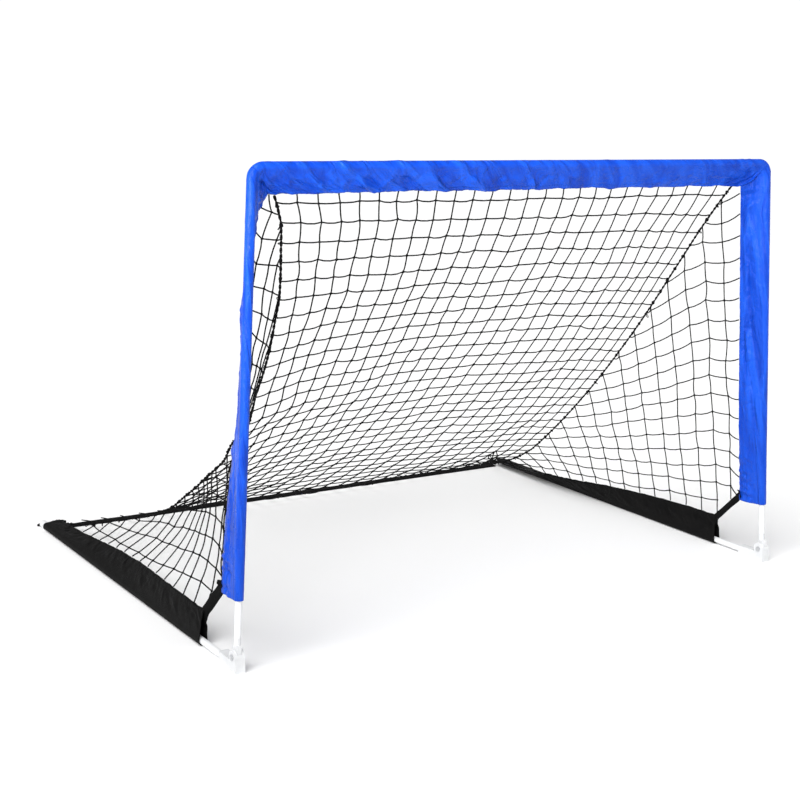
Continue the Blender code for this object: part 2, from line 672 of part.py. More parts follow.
def rear_net(base, webbing):
    middle = rear_middle(NET_ROWS + 1)
    seams = {name: seam_line(name, NET_ROWS + 1) for name in SIDES}
    points = []
    for row in range(NET_ROWS + 1):
        for column in range(NET_COLUMNS + 1):
            u = 2 * column / NET_COLUMNS - 1
            edge = seams["left" if u < 0 else "right"][row]
            blend = abs(u) ** REAR_CROWN
            place = middle[row] + (edge - middle[row]) * blend
            place[0] = u * (abs(edge[0]) - SEAM_GAP)
            place[2] = max(place[2], middle[-1][2])
            points.append(Vector(place))
    faces = []
    wide = NET_COLUMNS + 1
    for row in range(NET_ROWS):
        for column in range(NET_COLUMNS):
            a = row * wide + column
            faces.append((a, a + 1, a + wide + 1, a + wide))
    lattice("rear_net", points, faces, webbing, base)


def side_head(side, y, seam):
    """The upper edge of a side net, just outside and under the seam."""
    order = np.argsort(seam[:, 1])
    place = [np.interp(y, seam[order, 1], seam[order, axis]) for axis in range(3)]
    return Vector(place) + Vector((side, 0.0, -1.0)) * SEAM_GAP / math.sqrt(2)


def side_column(number, side, y, seam):
    """One upright of a side net, as (level, place) from its foot, up past each level row, to its head."""
    gap = Vector((0.0, HEM_HALF + NET_CORD, 0.0))
    foot, head = side_foot(side, y), side_head(side, y, seam)
    if number == 0:
        foot, head = post_hem(side, LACED_FROM) + gap, post_hem(side, LACED_TO) + gap
    column = [("foot", foot)]
    for level in range(1, math.ceil(HEIGHT / SIDE_CELL)):
        share = (level * SIDE_CELL - foot.z) / (head.z - foot.z)
        spare = END_CELL * SIDE_CELL / (head.z - foot.z)
        if spare < share < 1 - spare:
            on_hem = post_hem(side, LACED_FROM + (LACED_TO - LACED_FROM) * share) + gap
            column.append((level, foot.lerp(head, share) if number else on_hem))
    return column + [("head", head)]


def side_net(name, side, base, webbing):
    """Upright columns from the base's edge up to the seam, crossed by level rows."""
    seam = seam_line(name, DENSE)
    first = post_hem(side, 0.0).y + HEM_HALF + NET_CORD
    pitch = (SIDE_REACH - first) / SIDE_COLUMNS
    points, columns, faces = [], [], []
    for number in range(SIDE_COLUMNS + 1):
        column = side_column(number, side, first + pitch * number, seam)
        columns.append([(level, len(points) + i) for i, (level, _) in enumerate(column)])
        points += [place for _, place in column]
    for number, (left, right) in enumerate(zip(columns, columns[1:])):
        shared = [level for level, _ in left if level in dict(right)]
        for low, high in zip(shared, shared[1:]):
            cell = [stretch(column, low, high) for column in (left, right)]
            middle = []
            if high == "head" and number:
                middle = [len(points)]
                points.append(side_head(side, first + pitch * (number + 0.5), seam))
            faces.append(tuple(cell[0][::-1] + cell[1] + middle))
    lattice(f"side_net_{name}", points, faces, webbing, base)


def stretch(column, low, high):
    """The point numbers of a column between two of its levels."""
    levels = [level for level, _ in column]
    return [number for _, number in column[levels.index(low): levels.index(high) + 1]]


def side_foot(side, y):
    """The lower edge of a side net: along the corner tape, then along the base sleeve's hem."""
    lift = Vector((0.0, 0.0, HEM_HALF + NET_CORD))
    if y >= BASE_SLEEVE_FRONT:
        return base_hem(side, y) + lift
    top = post_hem(side, 0.0) + Vector((0.0, HEM_HALF, TAPE_WIDTH * (TAPE_TOP + 0.5)))
    low = base_hem(side, BASE_SLEEVE_FRONT) + Vector((0.0, 0.0, TAPE_WIDTH * (0.5 - TAPE_FOOT)))
    share = (y - top.y) / (low.y - top.y)
    return top.lerp(low, share) + lift


def nets(base, webbing):
    for name, side in SIDES.items():
        line = [Vector(point) for point in seam_line(name, SEAM_POINTS)]
        cord(f"seam_cord_{name}", line, SEAM_RADIUS, webbing, base)
        side_net(name, side, base, webbing)
    rear_net(base, webbing)


def main():
    for obj in list(bpy.data.objects):
        bpy.data.objects.remove(obj, do_unlink=True)
    paint = material("white_tube_paint", (0.80, 0.81, 0.82), 0.35, 0.1)
    plastic = material("moulded_plastic", (0.72, 0.73, 0.74), 0.45)
    metal = material("zinc_pin", (0.62, 0.63, 0.64), 0.30, 1.0)
    blue = material("blue_polyester", (0.030, 0.105, 0.620), 0.38)
    black = material("black_oxford", (0.012, 0.012, 0.013), 0.70)
    webbing = material("black_webbing", (0.010, 0.010, 0.011), 0.80)
    twine = material("net_twine", (0.009, 0.009, 0.010), 0.85)

    goal = empty("goal", (0.0, SHIFT_BACK, 0.0))
    pivot = Vector((0.0, 0.0, PIVOT_HEIGHT))
    fold = empty("frame_fold_axis", pivot, goal)
    front = {"empty": fold, "axis": pivot}
    base = {"empty": goal, "axis": Vector((0.0, 0.0, 0.0))}
    tube_pieces(front, base, paint, plastic)
    hinge_pieces(front, base, metal, plastic)
    end_caps(base, plastic)
    front_sleeves(front, blue)
    base_pieces(base, black, webbing)
    nets(base, twine)


main()
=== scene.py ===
"""Looks of the folding soccer goal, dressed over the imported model.

Lines and places are worked out from the plane of the posts, as in the part's source, and SHIFT brings
them into the row frame. The goal opens towards -Y and its net runs back to +Y.
"""

import json
import math

import bmesh
import bpy
import numpy as np
from mathutils import Matrix, Vector, noise


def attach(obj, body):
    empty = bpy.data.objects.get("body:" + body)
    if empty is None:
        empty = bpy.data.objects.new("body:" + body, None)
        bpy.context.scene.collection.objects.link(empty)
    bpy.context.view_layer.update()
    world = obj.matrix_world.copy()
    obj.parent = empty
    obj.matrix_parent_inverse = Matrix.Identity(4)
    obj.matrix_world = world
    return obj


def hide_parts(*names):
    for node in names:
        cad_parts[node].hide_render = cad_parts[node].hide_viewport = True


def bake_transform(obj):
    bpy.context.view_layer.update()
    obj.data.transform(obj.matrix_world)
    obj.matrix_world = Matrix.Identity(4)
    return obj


SHIFT = np.array((0.0, -0.54125, 0.0))   # from the plane of the posts to the row frame

# Sizes that the part's source has too
BAR_HEIGHT = 0.8715
POST_TOP_X = 0.5885
POST_FOOT_X = 0.6340
ARM_REAR_X = 0.6665
ARM_REACH = 1.062
ARM_HEIGHT = 0.0095
PIVOT_HEIGHT = 0.0275
ELBOW_BEND = 0.0220
SLEEVE_RADIUS = 0.0085
SLEEVE_FLAT = 0.0555
HEM_BACK = 0.02952
HEM_HEIGHT = 0.8245
CORNER_IN = 0.0435
HEM_HALF = 0.0016
POST_SLEEVE_FOOT = 0.130
BASE_FRONT = 0.143
BASE_REAR = 1.040
STRAP_MIDDLE = 1.040
STRAP_WIDTH = 0.025
SIDES = {"left": -1.0, "right": 1.0}
SEAMS = {
    "right": {"draw": 0.047, "late": 1.58, "run": 0.905, "fall": 1.75, "pull": 0.003},
    "left": {"draw": 0.099, "late": 0.944, "run": 1.174, "fall": 1.60, "pull": 0.108},
}

# Net
MESH = 0.0395              # step of the rear net's rows
TWINE = 0.00135            # radius
NET_COLUMNS = 26
ROW_START = 0.0133         # crossbar's hem to the first row
SIDE_ROWS = 20
TOP_ROW = 0.80             # height above which a side net has no row
# Each side net:
# feet, of its uprights along the base
# back, how far an upright goes back for each metre that it rises: at the front, the place from which that
#   falls, how fast it falls, and the least
# hollow, how early an upright turns inwards, by its foot's place
# swell, how much higher than its plain fall a row hangs, by its place
# rows, the lowest one's height, the step, how the step grows, how they draw together behind the post, how
#   much less so for each higher row, and from where
# lacing, of the rows on the post, as an offset and its slope
# sag, the least and most between two knots
# short, the uprights between the post and the seam, by height and share of the way from post to seam
SIDE_HANGS = {
    "right": {
        "feet": np.arange(0.088, 1.0, 0.0525), "back": (-0.035, 0.0, 0.0, -0.035),
        "hollow": ((0.0, 1.0), (1.0, 1.0)), "swell": ((0.0, 1.0), (1.0, 1.0)),
        "rows": (0.107, 0.0425, 0.0, 1.0, 0.0, 0.140), "lacing": (-0.011, 0.052), "sag": (0.0010, 0.0035),
        "short": (),
    },
    "left": {
        "feet": np.append(0.120, np.arange(0.190, 1.0, 0.0543)), "back": (1.0, 0.20, 3.0, -0.4),
        "hollow": ((0.12, 1.15), (0.19, 1.45), (0.30, 1.70), (0.40, 1.95), (0.52, 2.05), (0.57, 1.95),
                   (0.62, 1.65), (1.0, 1.50)),
        "swell": ((0.0, 1.0), (0.20, 1.0), (0.38, 1.055), (0.57, 1.0), (0.70, 0.92), (1.0, 0.85)),
        "rows": (0.1275, 0.0411, -0.00002, 1.27, 0.10, 0.0), "lacing": (-0.012, 0.050), "sag": (0.0, 0.0012),
        "short": (
            ((.62, 0), (.675, .125), (.715, .25), (.748, .33), (.79, .64), (.8245, .05)),
            ((.36, 0), (.40, .12), (.53, .40), (.57, .43), (.66, .52), (.70, .66), (.742, .82), (.765, 1)),
            ((.32, 0), (.40, .40), (.49, .58), (.535, .62), (.615, .73), (.665, .80), (.715, 1)),
            ((.29, 0), (.34, .25), (.40, .55), (.48, .74), (.525, .76), (.56, .82), (.60, .93), (.65, 1)),
            ((.22, 0), (.28, .10), (.33, .30), (.40, .70), (.48, .86), (.57, 1)),
            ((.15, 0), (.22, .05), (.28, .17), (.34, .50), (.40, .85), (.47, 1)),
        ),
    },
}
# Where each seam hangs off its plain curve: share along it, inwards and up
SEAM_PULLS = {
    "right": ((0, .018, .007), (.1, .024, .004), (.2, .021, .003), (.3, .017, 0), (.5, .011, -.002),
              (.75, .008, -.006), (.87, .013, .005), (1, .004, .009)),
    "left": ((0, .012, .004), (.035, .018, .002), (.07, .014, 0), (.14, .010, 0), (.17, .004, 0),
             (.23, -.002, 0), (.30, -.010, 0), (.36, -.003, -.002), (.42, -.013, .007), (.46, -.007, .003),
             (.52, -.010, .008), (.6, -.006, .007), (.65, -.002, .001), (.7, -.001, .001), (.74, 0, .008),
             (.78, 0, .012), (.82, 0, .013), (.86, 0, .012), (.9, 0, .008), (.94, 0, .004), (1, 0, 0)),
}

# By side: degrees that each post's flap turns inwards at its foot and higher up, with the share by which it
# has turned, and the share of a post's hem from which it bends to the top corner
HEM_TURNS = {-1.0: (-8.0, 24.0, 0.75), 1.0: (15.0, 24.0, 0.35)}
POST_MITRE = {-1.0: 0.84, 1.0: 0.86}

# Cloth and cords
LINE_STEPS = 400           # of a seam, or of the rear net's middle
FLAT_STEPS = 22            # of a band of cloth, from its hem to the tube
ROUND_STEPS = 12
LONG_STEPS = 340           # of a band of cloth along a post or an arm
BAR_STEPS = 560
ELBOW_STEPS = 24
ELBOW_HALF = 12            # step of an elbow at which two sleeves meet
CLOTH_THICK = 0.0006
PUFF = 0.0010              # of each face of a band, midway from tube to hem
STITCH_ROW = 4
STITCH_STEP = 0.0022
STITCH_RADIUS = 0.0003
STITCH_LIFT = 0.0005
PLAIN_CREASE = ((0.010, 0.028), (0.0018, 0.0038))    # least and most length and width
CREASE_REACH = 0.12        # along a band, from a crease's middle
SOFT_SIDE, STEEP_SIDE = 1.6, 0.75
STRAP_THICK = 0.0022
TAPE_WIDTH = 0.018
TAPE_THICK = 0.0018
TAPE_STEPS = 44
PEG_CORD = 0.0038
PEG_KNOT = 0.0052          # radius of its coils
COIL_CORD, BOW_CORD = 0.0020, 0.0017     # radii
SEAM_STEPS = 420
SEAM_TWIST = 0.024         # length of one turn of a seam's two strands
SEAM_STRAND = {-1.0: 0.0015, 1.0: 0.0013}
SEAM_KNOT = np.array((0.0036, 0.0030, 0.0034))
SEAM_CURL = 0.0009         # radius of the loose loops at a seam's knots
KNOT = (0.0027, 0.0023, 0.0030)
NET_LOWEST = 0.0045
FULL_TURN = 6.28
RANDOM = np.random.default_rng(7)


def unit(v):
    v = np.asarray(v, float)
    return v / max(np.linalg.norm(v), 1e-12)


def smooth(value):
    value = np.clip(value, 0.0, 1.0)
    return value * value * (3 - 2 * value)


def lerp(a, b, share):
    return np.asarray(a) + (np.asarray(b) - np.asarray(a)) * share


# Lines of the frame

def post_core(side, height):
    share = (height - PIVOT_HEIGHT) / (BAR_HEIGHT - PIVOT_HEIGHT)
    return np.array((side * (POST_FOOT_X + (POST_TOP_X - POST_FOOT_X) * share), 0.0, height))


def arm_core(side, back):
    x = POST_FOOT_X + (ARM_REAR_X - POST_FOOT_X) * back / ARM_REACH
    return np.array((side * x, back, ARM_HEIGHT))


def hem_corner(side):
    return np.array((side * (POST_TOP_X - CORNER_IN), HEM_BACK, HEM_HEIGHT))


def post_hem(side, share):
    height = POST_SLEEVE_FOOT + (HEM_HEIGHT - POST_SLEEVE_FOOT) * share
    low, high, turned = HEM_TURNS[side]
    turn = math.radians(lerp(low, high, float(smooth(share / turned))))
    out = np.array((-side * math.sin(turn), math.cos(turn), 0.0))
    bend = float(smooth((share - POST_MITRE[side]) / (1 - POST_MITRE[side])))
    return lerp(post_core(side, height) + out * SLEEVE_FLAT, hem_corner(side), bend)


def base_hem(side, back):
    share = (back - BASE_FRONT) / (BASE_REAR - BASE_FRONT)
    lean = math.radians(4.0 + 70.0 * float(smooth(share)))
    flat = 0.0600 - 0.0255 * share + 0.0060 * math.sin(math.pi * min(max(share, 0.0), 1.0))
    return arm_core(side, back) + np.array((-side * math.sin(lean), 0.0, math.cos(lean))) * flat


def run_along(line):
    """The length along a line at each of its points."""
    return np.concatenate([[0.0], np.cumsum(np.linalg.norm(np.diff(line, axis=0), axis=1))])


def tangents(line):
    ahead = np.gradient(line, axis=0)
    return ahead / np.maximum(np.linalg.norm(ahead, axis=1, keepdims=True), 1e-9)


def at_lengths(line, lengths):
    run = run_along(line)
    return np.stack([np.interp(lengths, run, line[:, axis]) for axis in range(3)], axis=1)


def even_steps(line, count):
    return at_lengths(line, np.linspace(0.0, length_of(line), count))


def at_heights(falling, heights):
    """Points at some heights of a line that comes down all the way."""
    rising = falling[::-1]
    return np.stack([np.interp(heights, rising[:, 2], rising[:, axis]) for axis in range(3)], axis=1)


def length_of(line):
    return float(run_along(line)[-1])


def seam_line(name, count):
    side, hang = SIDES[name], SEAMS[name]
    top = hem_corner(side) + np.array((0.0, 0.004, -0.006))
    strap_end = base_hem(side, BASE_REAR)
    foot = np.array((side * (abs(strap_end[0]) - 0.006), STRAP_MIDDLE + 0.006, 0.012))
    t = np.linspace(0.0, 1.0, LINE_STEPS)
    x = abs(top[0]) + (abs(foot[0]) - abs(top[0])) * t - hang["draw"] * np.sin(np.pi * t ** hang["late"])
    y = top[1] + (foot[1] - top[1]) * t ** hang["run"] - hang["pull"] * np.sin(np.pi * t)
    z = foot[2] + (top[2] - foot[2]) * (1 - t) ** hang["fall"]
    line = even_steps(np.stack([x, y, z], axis=1), LINE_STEPS)
    share, inwards, up = np.array(SEAM_PULLS[name]).T
    line[:, 0] -= np.interp(t, share, inwards)
    line[:, 2] += np.interp(t, share, up)
    line[:, 0] *= side
    return even_steps(line, count)


def rear_middle():
    t = np.linspace(0.0, 1.0, LINE_STEPS)
    top_y, top_z = HEM_BACK + 0.003, HEM_HEIGHT - 0.004
    foot_z = 0.0057
    y = top_y + (STRAP_MIDDLE - top_y) * t**1.20
    z = foot_z + (top_z - foot_z) * (1 - t) ** 1.40
    return even_steps(np.stack([0 * t, y, z], axis=1), LINE_STEPS)


# Meshes

def placed(name, data):
    """A new object in the scene."""
    made = bpy.data.objects.new(name, data)
    bpy.context.scene.collection.objects.link(made)
    return made


class Shape:
    """Gathers points, faces and a UV pair for each corner of each face, in metres along and across."""

    def __init__(self):
        self.points, self.faces, self.uvs = [], [], []

    def add(self, points, faces, uvs):
        start = len(self.points)
        self.points += [tuple(p) for p in points]
        self.faces += [tuple(start + i for i in face) for face in faces]
        self.uvs += uvs

    def loft(self, rings, run, around):
        """A skin with closed ends over rings, by the length along them and the width round them."""
        sides = len(rings[0])
        faces, uvs = [], []
        for i in range(len(rings) - 1):
            for k in range(sides):
                n = (k + 1) % sides
                faces.append((i * sides + k, i * sides + n, (i + 1) * sides + n, (i + 1) * sides + k))
                uvs += [(run[i], around[k]), (run[i], around[k + 1])]
                uvs += [(run[i + 1], around[k + 1]), (run[i + 1], around[k])]
        last = (len(rings) - 1) * sides
        faces += [tuple(range(sides))[::-1], tuple(last + k for k in range(sides))]
        uvs += [(run[0], around[k]) for k in range(sides)][::-1]
        uvs += [(run[-1], around[k]) for k in range(sides)]
        self.add([p for ring in rings for p in ring], faces, uvs)

    def tube(self, line, radius, sides=6):
        """A round cord along a line, with closed ends."""
        line = np.asarray(line, float)
        ahead = tangents(line)
        up = unit(np.cross(ahead[0], (0.3, 0.5, 0.8) if abs(ahead[0][2]) < 0.9 else (1.0, 0.2, 0.0)))
        angles = math.tau * np.arange(sides) / sides
        rings = []
        for place, forward in zip(line, ahead):
            up = unit(up - forward * np.dot(up, forward))
            side = np.cross(forward, up)
            rings.append(place + radius * (np.cos(angles)[:, None] * up + np.sin(angles)[:, None] * side))
        self.loft(rings, run_along(line), np.arange(sides + 1) / sides)

    def strand(self, stops, sag=None, bow=0.0):
        """Twine through a row of knots, with a small sag or a small bow from each to the next."""
        line = []
        for a, b in zip(stops, stops[1:]):
            if sag:
                line += bar(a, b, RANDOM.uniform(*sag))
            else:
                line += bar(a, b, 0.0, RANDOM.normal(0.0, bow))
        self.tube(np.array(line + [stops[-1]]), TWINE)

    def lump(self, middle, size):
        """A knot: a small rounded lump."""
        turn = RANDOM.uniform(0, FULL_TURN)
        matrix = np.array(Matrix.Rotation(turn, 3, Vector((0.4, 0.7, 0.59))))
        points = (ICO_POINTS * np.asarray(size)) @ matrix.T + np.asarray(middle)
        uvs = [(0.01 * ICO_POINTS[i][2], math.atan2(ICO_POINTS[i][1], ICO_POINTS[i][0]) / math.tau)
               for face in ICO_FACES for i in face]
        self.add(points, ICO_FACES, uvs)

    def grid(self, rows, uv_rows):
        """A sheet of quads from rows of points, with a UV pair for each point."""
        wide = len(rows[0])
        faces, uvs = [], []
        for r in range(len(rows) - 1):
            for c in range(wide - 1):
                a, b = r * wide + c, (r + 1) * wide + c
                faces.append((a, a + 1, b + 1, b))
                uvs += [uv_rows[r][c], uv_rows[r][c + 1], uv_rows[r + 1][c + 1], uv_rows[r + 1][c]]
        self.add([p for row in rows for p in row], faces, uvs)

    def piece(self, name, finish, slot):
        """A mesh object in the row frame."""
        mesh = bpy.data.meshes.new(name)
        mesh.from_pydata((np.asarray(self.points, float) + SHIFT).tolist(), [], self.faces)
        layer = mesh.uv_layers.new(name="cloth")
        layer.data.foreach_set("uv", np.asarray(self.uvs, np.float32).ravel())
        mesh.validate(clean_customdata=False)
        mesh.shade_smooth()
        mesh.materials.append(finish)
        obj = placed(name, mesh)
        return obj


def ico():
    shape = bmesh.new()
    bmesh.ops.create_icosphere(shape, subdivisions=1, radius=1.0)
    points = np.array([v.co for v in shape.verts])
    faces = [tuple(v.index for v in f.verts) for f in shape.faces]
    shape.free()
    return points, faces


ICO_POINTS, ICO_FACES = ico()


# How cloth and net would fold: shares worked out but not applied

def folds_flat(piece, ends):
    """Bakes a soft piece's transform and works out the share of the frame's turn that would let it lie flat
    when the frame is down.

    The share is found point by point, from the point's own angle about the hinge, so that at 90 degrees each
    point would come down to the height that ends(points) gives and the net would stay tied to the frame and
    to the base.
    The share is not applied, so the piece does not turn with the frame.
    """
    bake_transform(piece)
    count = len(piece.data.vertices)
    points = np.zeros(count * 3)
    piece.data.vertices.foreach_get("co", points)
    points = points.reshape(-1, 3) - SHIFT
    y, up = points[:, 1], points[:, 2] - PIVOT_HEIGHT
    radius = np.maximum(np.hypot(y, up), 1e-6)
    low = np.arcsin(np.clip((ends(points) - PIVOT_HEIGHT) / radius, -1.0, 1.0))
    share = np.clip((np.arctan2(up, y) - low) / (math.pi / 2), 0.0, 1.0)
    return piece


def sleeve_ends(points):
    """Fold heights: the round part would ride with its tube, and the flap behind it would come down beside
    the tube.
    """
    y = points[:, 1]
    behind = PIVOT_HEIGHT - SLEEVE_RADIUS - (y - SLEEVE_RADIUS) * 0.34
    return np.where(y < SLEEVE_RADIUS, -1.0, behind)


def net_ends(points):
    up = np.arctan2(points[:, 2] - PIVOT_HEIGHT, points[:, 1])
    return 0.0060 + 0.0050 * smooth(up / (math.pi / 2))


def base_flap_ends(points):
    return np.minimum(points[:, 2], 0.0150)


# Materials

def node(tree, kind, settings=None, inputs=None):
    made = tree.nodes.new(kind)
    for key, value in (settings or {}).items():
        setattr(made, key, value)
    for key, value in (inputs or {}).items():
        if isinstance(value, bpy.types.NodeSocket):
            tree.links.new(value, made.inputs[key])
        else:
            made.inputs[key].default_value = value
    return made


def principled(name, **sockets):
    """A material, its tree and its shader. A socket's name has _ for each space."""
    made = bpy.data.materials.new(name)
    made.use_nodes = True
    shader = made.node_tree.nodes["Principled BSDF"]
    for key, value in sockets.items():
        shader.inputs[key.replace("_", " ")].default_value = value
    return made, made.node_tree, shader


def ramp(tree, source, low, high, start=0.35, end=0.65):
    """Two colours, or two greys, between two values of a texture."""
    made = node(tree, "ShaderNodeValToRGB", inputs={"Fac": source})
    first, last = made.color_ramp.elements
    first.position, last.position = start, end
    first.color = (*low, 1.0) if isinstance(low, tuple) else (low, low, low, 1.0)
    last.color = (*high, 1.0) if isinstance(high, tuple) else (high, high, high, 1.0)
    return made.outputs["Color"]


def uv_scaled(tree, along, across):
    uv = node(tree, "ShaderNodeUVMap", {"uv_map": "cloth"})
    inputs = {"Vector": uv.outputs["UV"], "Scale": (along, across, 1.0)}
    return node(tree, "ShaderNodeMapping", inputs=inputs).outputs["Vector"]


def noise_of(tree, vector, scale, detail=3.0, rough=0.5, distortion=0.0):
    inputs = {"Vector": vector, "Scale": scale, "Detail": detail, "Roughness": rough,
              "Distortion": distortion}
    return node(tree, "ShaderNodeTexNoise", inputs=inputs).outputs["Fac"]


def combined(tree, operation, first, second):
    made = node(tree, "ShaderNodeMath", {"operation": operation})
    tree.links.new(first, made.inputs[0])
    tree.links.new(second, made.inputs[1])
    return made.outputs["Value"]


def weave_of(tree, pitch):
    """A plain weave: crossing sine waves along and across the cloth, in metres."""
    waves = []
    for direction in ("X", "Y"):
        settings = {"wave_type": "BANDS", "bands_direction": direction, "wave_profile": "SIN"}
        inputs = {"Vector": uv_scaled(tree, 1.0, 1.0), "Scale": math.tau / (20.0 * pitch), "Distortion": 0.0}
        waves.append(node(tree, "ShaderNodeTexWave", settings, inputs).outputs["Fac"])
    return combined(tree, "MULTIPLY", *waves)


def surface(tree, shader, colour, roughness, layers):
    """Links a colour, a roughness and bumps, each a (height, strength, distance in metres)."""
    tree.links.new(colour, shader.inputs["Base Color"])
    tree.links.new(roughness, shader.inputs["Roughness"])
    normal = None
    for height, strength, distance in layers:
        inputs = {"Height": height, "Strength": strength, "Distance": distance}
        if normal is not None:
            inputs["Normal"] = normal
        normal = node(tree, "ShaderNodeBump", inputs=inputs).outputs["Normal"]
    tree.links.new(normal, shader.inputs["Normal"])


def blue_cloth(name, turn, scale, fade):
    """Shiny blue cloth. Its folds run at a turn to the cloth's length and their bumps fade out along it, in
    metres. The same fold pattern paints the folds' shade and highlights into the colour as darker and
    lighter blue.
    """
    made, tree, shader = principled(name, Specular_IOR_Level=0.15)
    plain = uv_scaled(tree, 1.0, 1.0)
    turning = {"Vector": plain, "Rotation": (0.0, 0.0, turn)}
    turned = node(tree, "ShaderNodeMapping", inputs=turning).outputs["Vector"]
    drawn = node(tree, "ShaderNodeMapping", inputs={"Vector": turned, "Scale": scale}).outputs["Vector"]
    fold_bumps_and_painted_light = noise_of(tree, drawn, 1.0, 3.0, 0.5, 0.9)
    run = node(tree, "ShaderNodeSeparateXYZ", inputs={"Vector": plain}).outputs["X"]
    strength = ramp(tree, run, 1.0, 0.22, *fade)
    # Painted shade and highlight: the base colour goes from darker to lighter blue with the fold pattern
    # that also makes the bumps.
    colour = ramp(tree, fold_bumps_and_painted_light, (0.0025, 0.046, 0.440), (0.0085, 0.087, 0.635), 0.36, 0.62)
    rub = noise_of(tree, uv_scaled(tree, 60.0, 60.0), 1.0, 5.0, 0.6)
    crumple = noise_of(tree, uv_scaled(tree, 26.0, 44.0), 1.0, 3.0, 0.5, 1.6)
    layers = [(fold_bumps_and_painted_light, strength, 0.0130), (crumple, 0.6, 0.0050), (weave_of(tree, 0.0007), 0.25, 0.0002)]
    surface(tree, shader, colour, ramp(tree, rub, 0.26, 0.42), layers)
    return made


def black_cloth():
    made, tree, shader = principled("black_oxford", Specular_IOR_Level=0.06)
    broad = noise_of(tree, uv_scaled(tree, 14.0, 30.0), 1.0, 4.0, 0.6, 0.4)
    colour = ramp(tree, broad, (0.0028, 0.0028, 0.0029), (0.0064, 0.0062, 0.0062))
    creased = noise_of(tree, uv_scaled(tree, 24.0, 40.0), 1.0, 4.0, 0.55, 1.0)
    layers = [(creased, 0.45, 0.0014), (weave_of(tree, 0.0012), 0.55, 0.0003)]
    surface(tree, shader, colour, ramp(tree, broad, 0.58, 0.74), layers)
    return made


def webbing():
    made, tree, shader = principled("black_webbing", Specular_IOR_Level=0.06)
    broad = noise_of(tree, uv_scaled(tree, 30.0, 30.0), 1.0, 4.0, 0.6)
    colour = ramp(tree, broad, (0.0027, 0.0027, 0.0028), (0.0060, 0.0060, 0.0062))
    surface(tree, shader, colour, ramp(tree, broad, 0.70, 0.86), [(weave_of(tree, 0.0020), 0.7, 0.0005)])
    return made


def twine():
    made, tree, shader = principled("net_twine", Specular_IOR_Level=0.05)
    settings = {"wave_type": "BANDS", "bands_direction": "DIAGONAL", "wave_profile": "SIN"}
    inputs = {"Vector": uv_scaled(tree, 210.0, 2.0), "Scale": 0.55, "Distortion": 0.6}
    strands = node(tree, "ShaderNodeTexWave", settings, inputs).outputs["Fac"]
    colour = ramp(tree, strands, (0.0040, 0.0040, 0.0042), (0.0085, 0.0085, 0.0088), 0.2, 0.8)
    fuzz = noise_of(tree, uv_scaled(tree, 400.0, 4.0), 1.0, 3.0, 0.6)
    surface(tree, shader, colour, ramp(tree, fuzz, 0.74, 0.92), [(strands, 0.8, 0.0006)])
    return made


def grained(name, mottle, low, high, grain, rough, strength, **sockets):
    """Paint or plastic, with a faint mottle of two colours and a fine grain, each by its scale."""
    made, tree, shader = principled(name, **sockets)
    coords = node(tree, "ShaderNodeTexCoord").outputs["Object"]
    colour = ramp(tree, noise_of(tree, coords, mottle, 4.0, 0.6), low, high)
    fine = noise_of(tree, coords, *grain)
    surface(tree, shader, colour, ramp(tree, fine, *rough), [(fine, strength, 0.0002)])
    return made


def zinc():
    made, tree, shader = principled("zinc_pin", Metallic=1.0)
    inputs = {"Vector": node(tree, "ShaderNodeTexCoord").outputs["Object"], "Scale": 700.0}
    spangle = node(tree, "ShaderNodeTexVoronoi", inputs=inputs).outputs["Distance"]
    colour = ramp(tree, spangle, (0.52, 0.53, 0.55), (0.68, 0.69, 0.70), 0.1, 0.8)
    surface(tree, shader, colour, ramp(tree, spangle, 0.24, 0.40, 0.1, 0.8), [(spangle, 0.15, 0.0001)])
    return made


# Camera, floor and light

def camera():
    yaw, pitch, roll = math.radians(30.844), math.radians(-10.749), math.radians(0.121)
    ahead = Vector((math.sin(yaw) * math.cos(pitch), math.cos(yaw) * math.cos(pitch), math.sin(pitch)))
    level = Vector((math.cos(yaw), -math.sin(yaw), 0.0))
    up = level.cross(ahead)
    right = level * math.cos(roll) + up * math.sin(roll)
    top = -level * math.sin(roll) + up * math.cos(roll)
    data = bpy.data.cameras.new("camera")
    data.sensor_width = 36.0
    data.lens = 60.45
    data.clip_end = 200.0
    made = placed("camera", data)
    turn = Matrix((right, top, -ahead)).transposed().to_4x4()
    made.matrix_world = Matrix.Translation((-1.5307, -2.5970, 0.9072)) @ turn
    bpy.context.scene.camera = made


def floor():
    shape = bmesh.new()
    bmesh.ops.create_circle(shape, cap_ends=True, radius=60.0, segments=96)
    mesh = bpy.data.meshes.new("floor")
    shape.to_mesh(mesh)
    shape.free()
    grey = (0.95, 0.95, 0.95, 1.0)
    made = principled("pale_floor", Roughness=0.85, Base_Color=grey, Specular_IOR_Level=0.0)[0]
    mesh.materials.append(made)
    placed("floor", mesh)


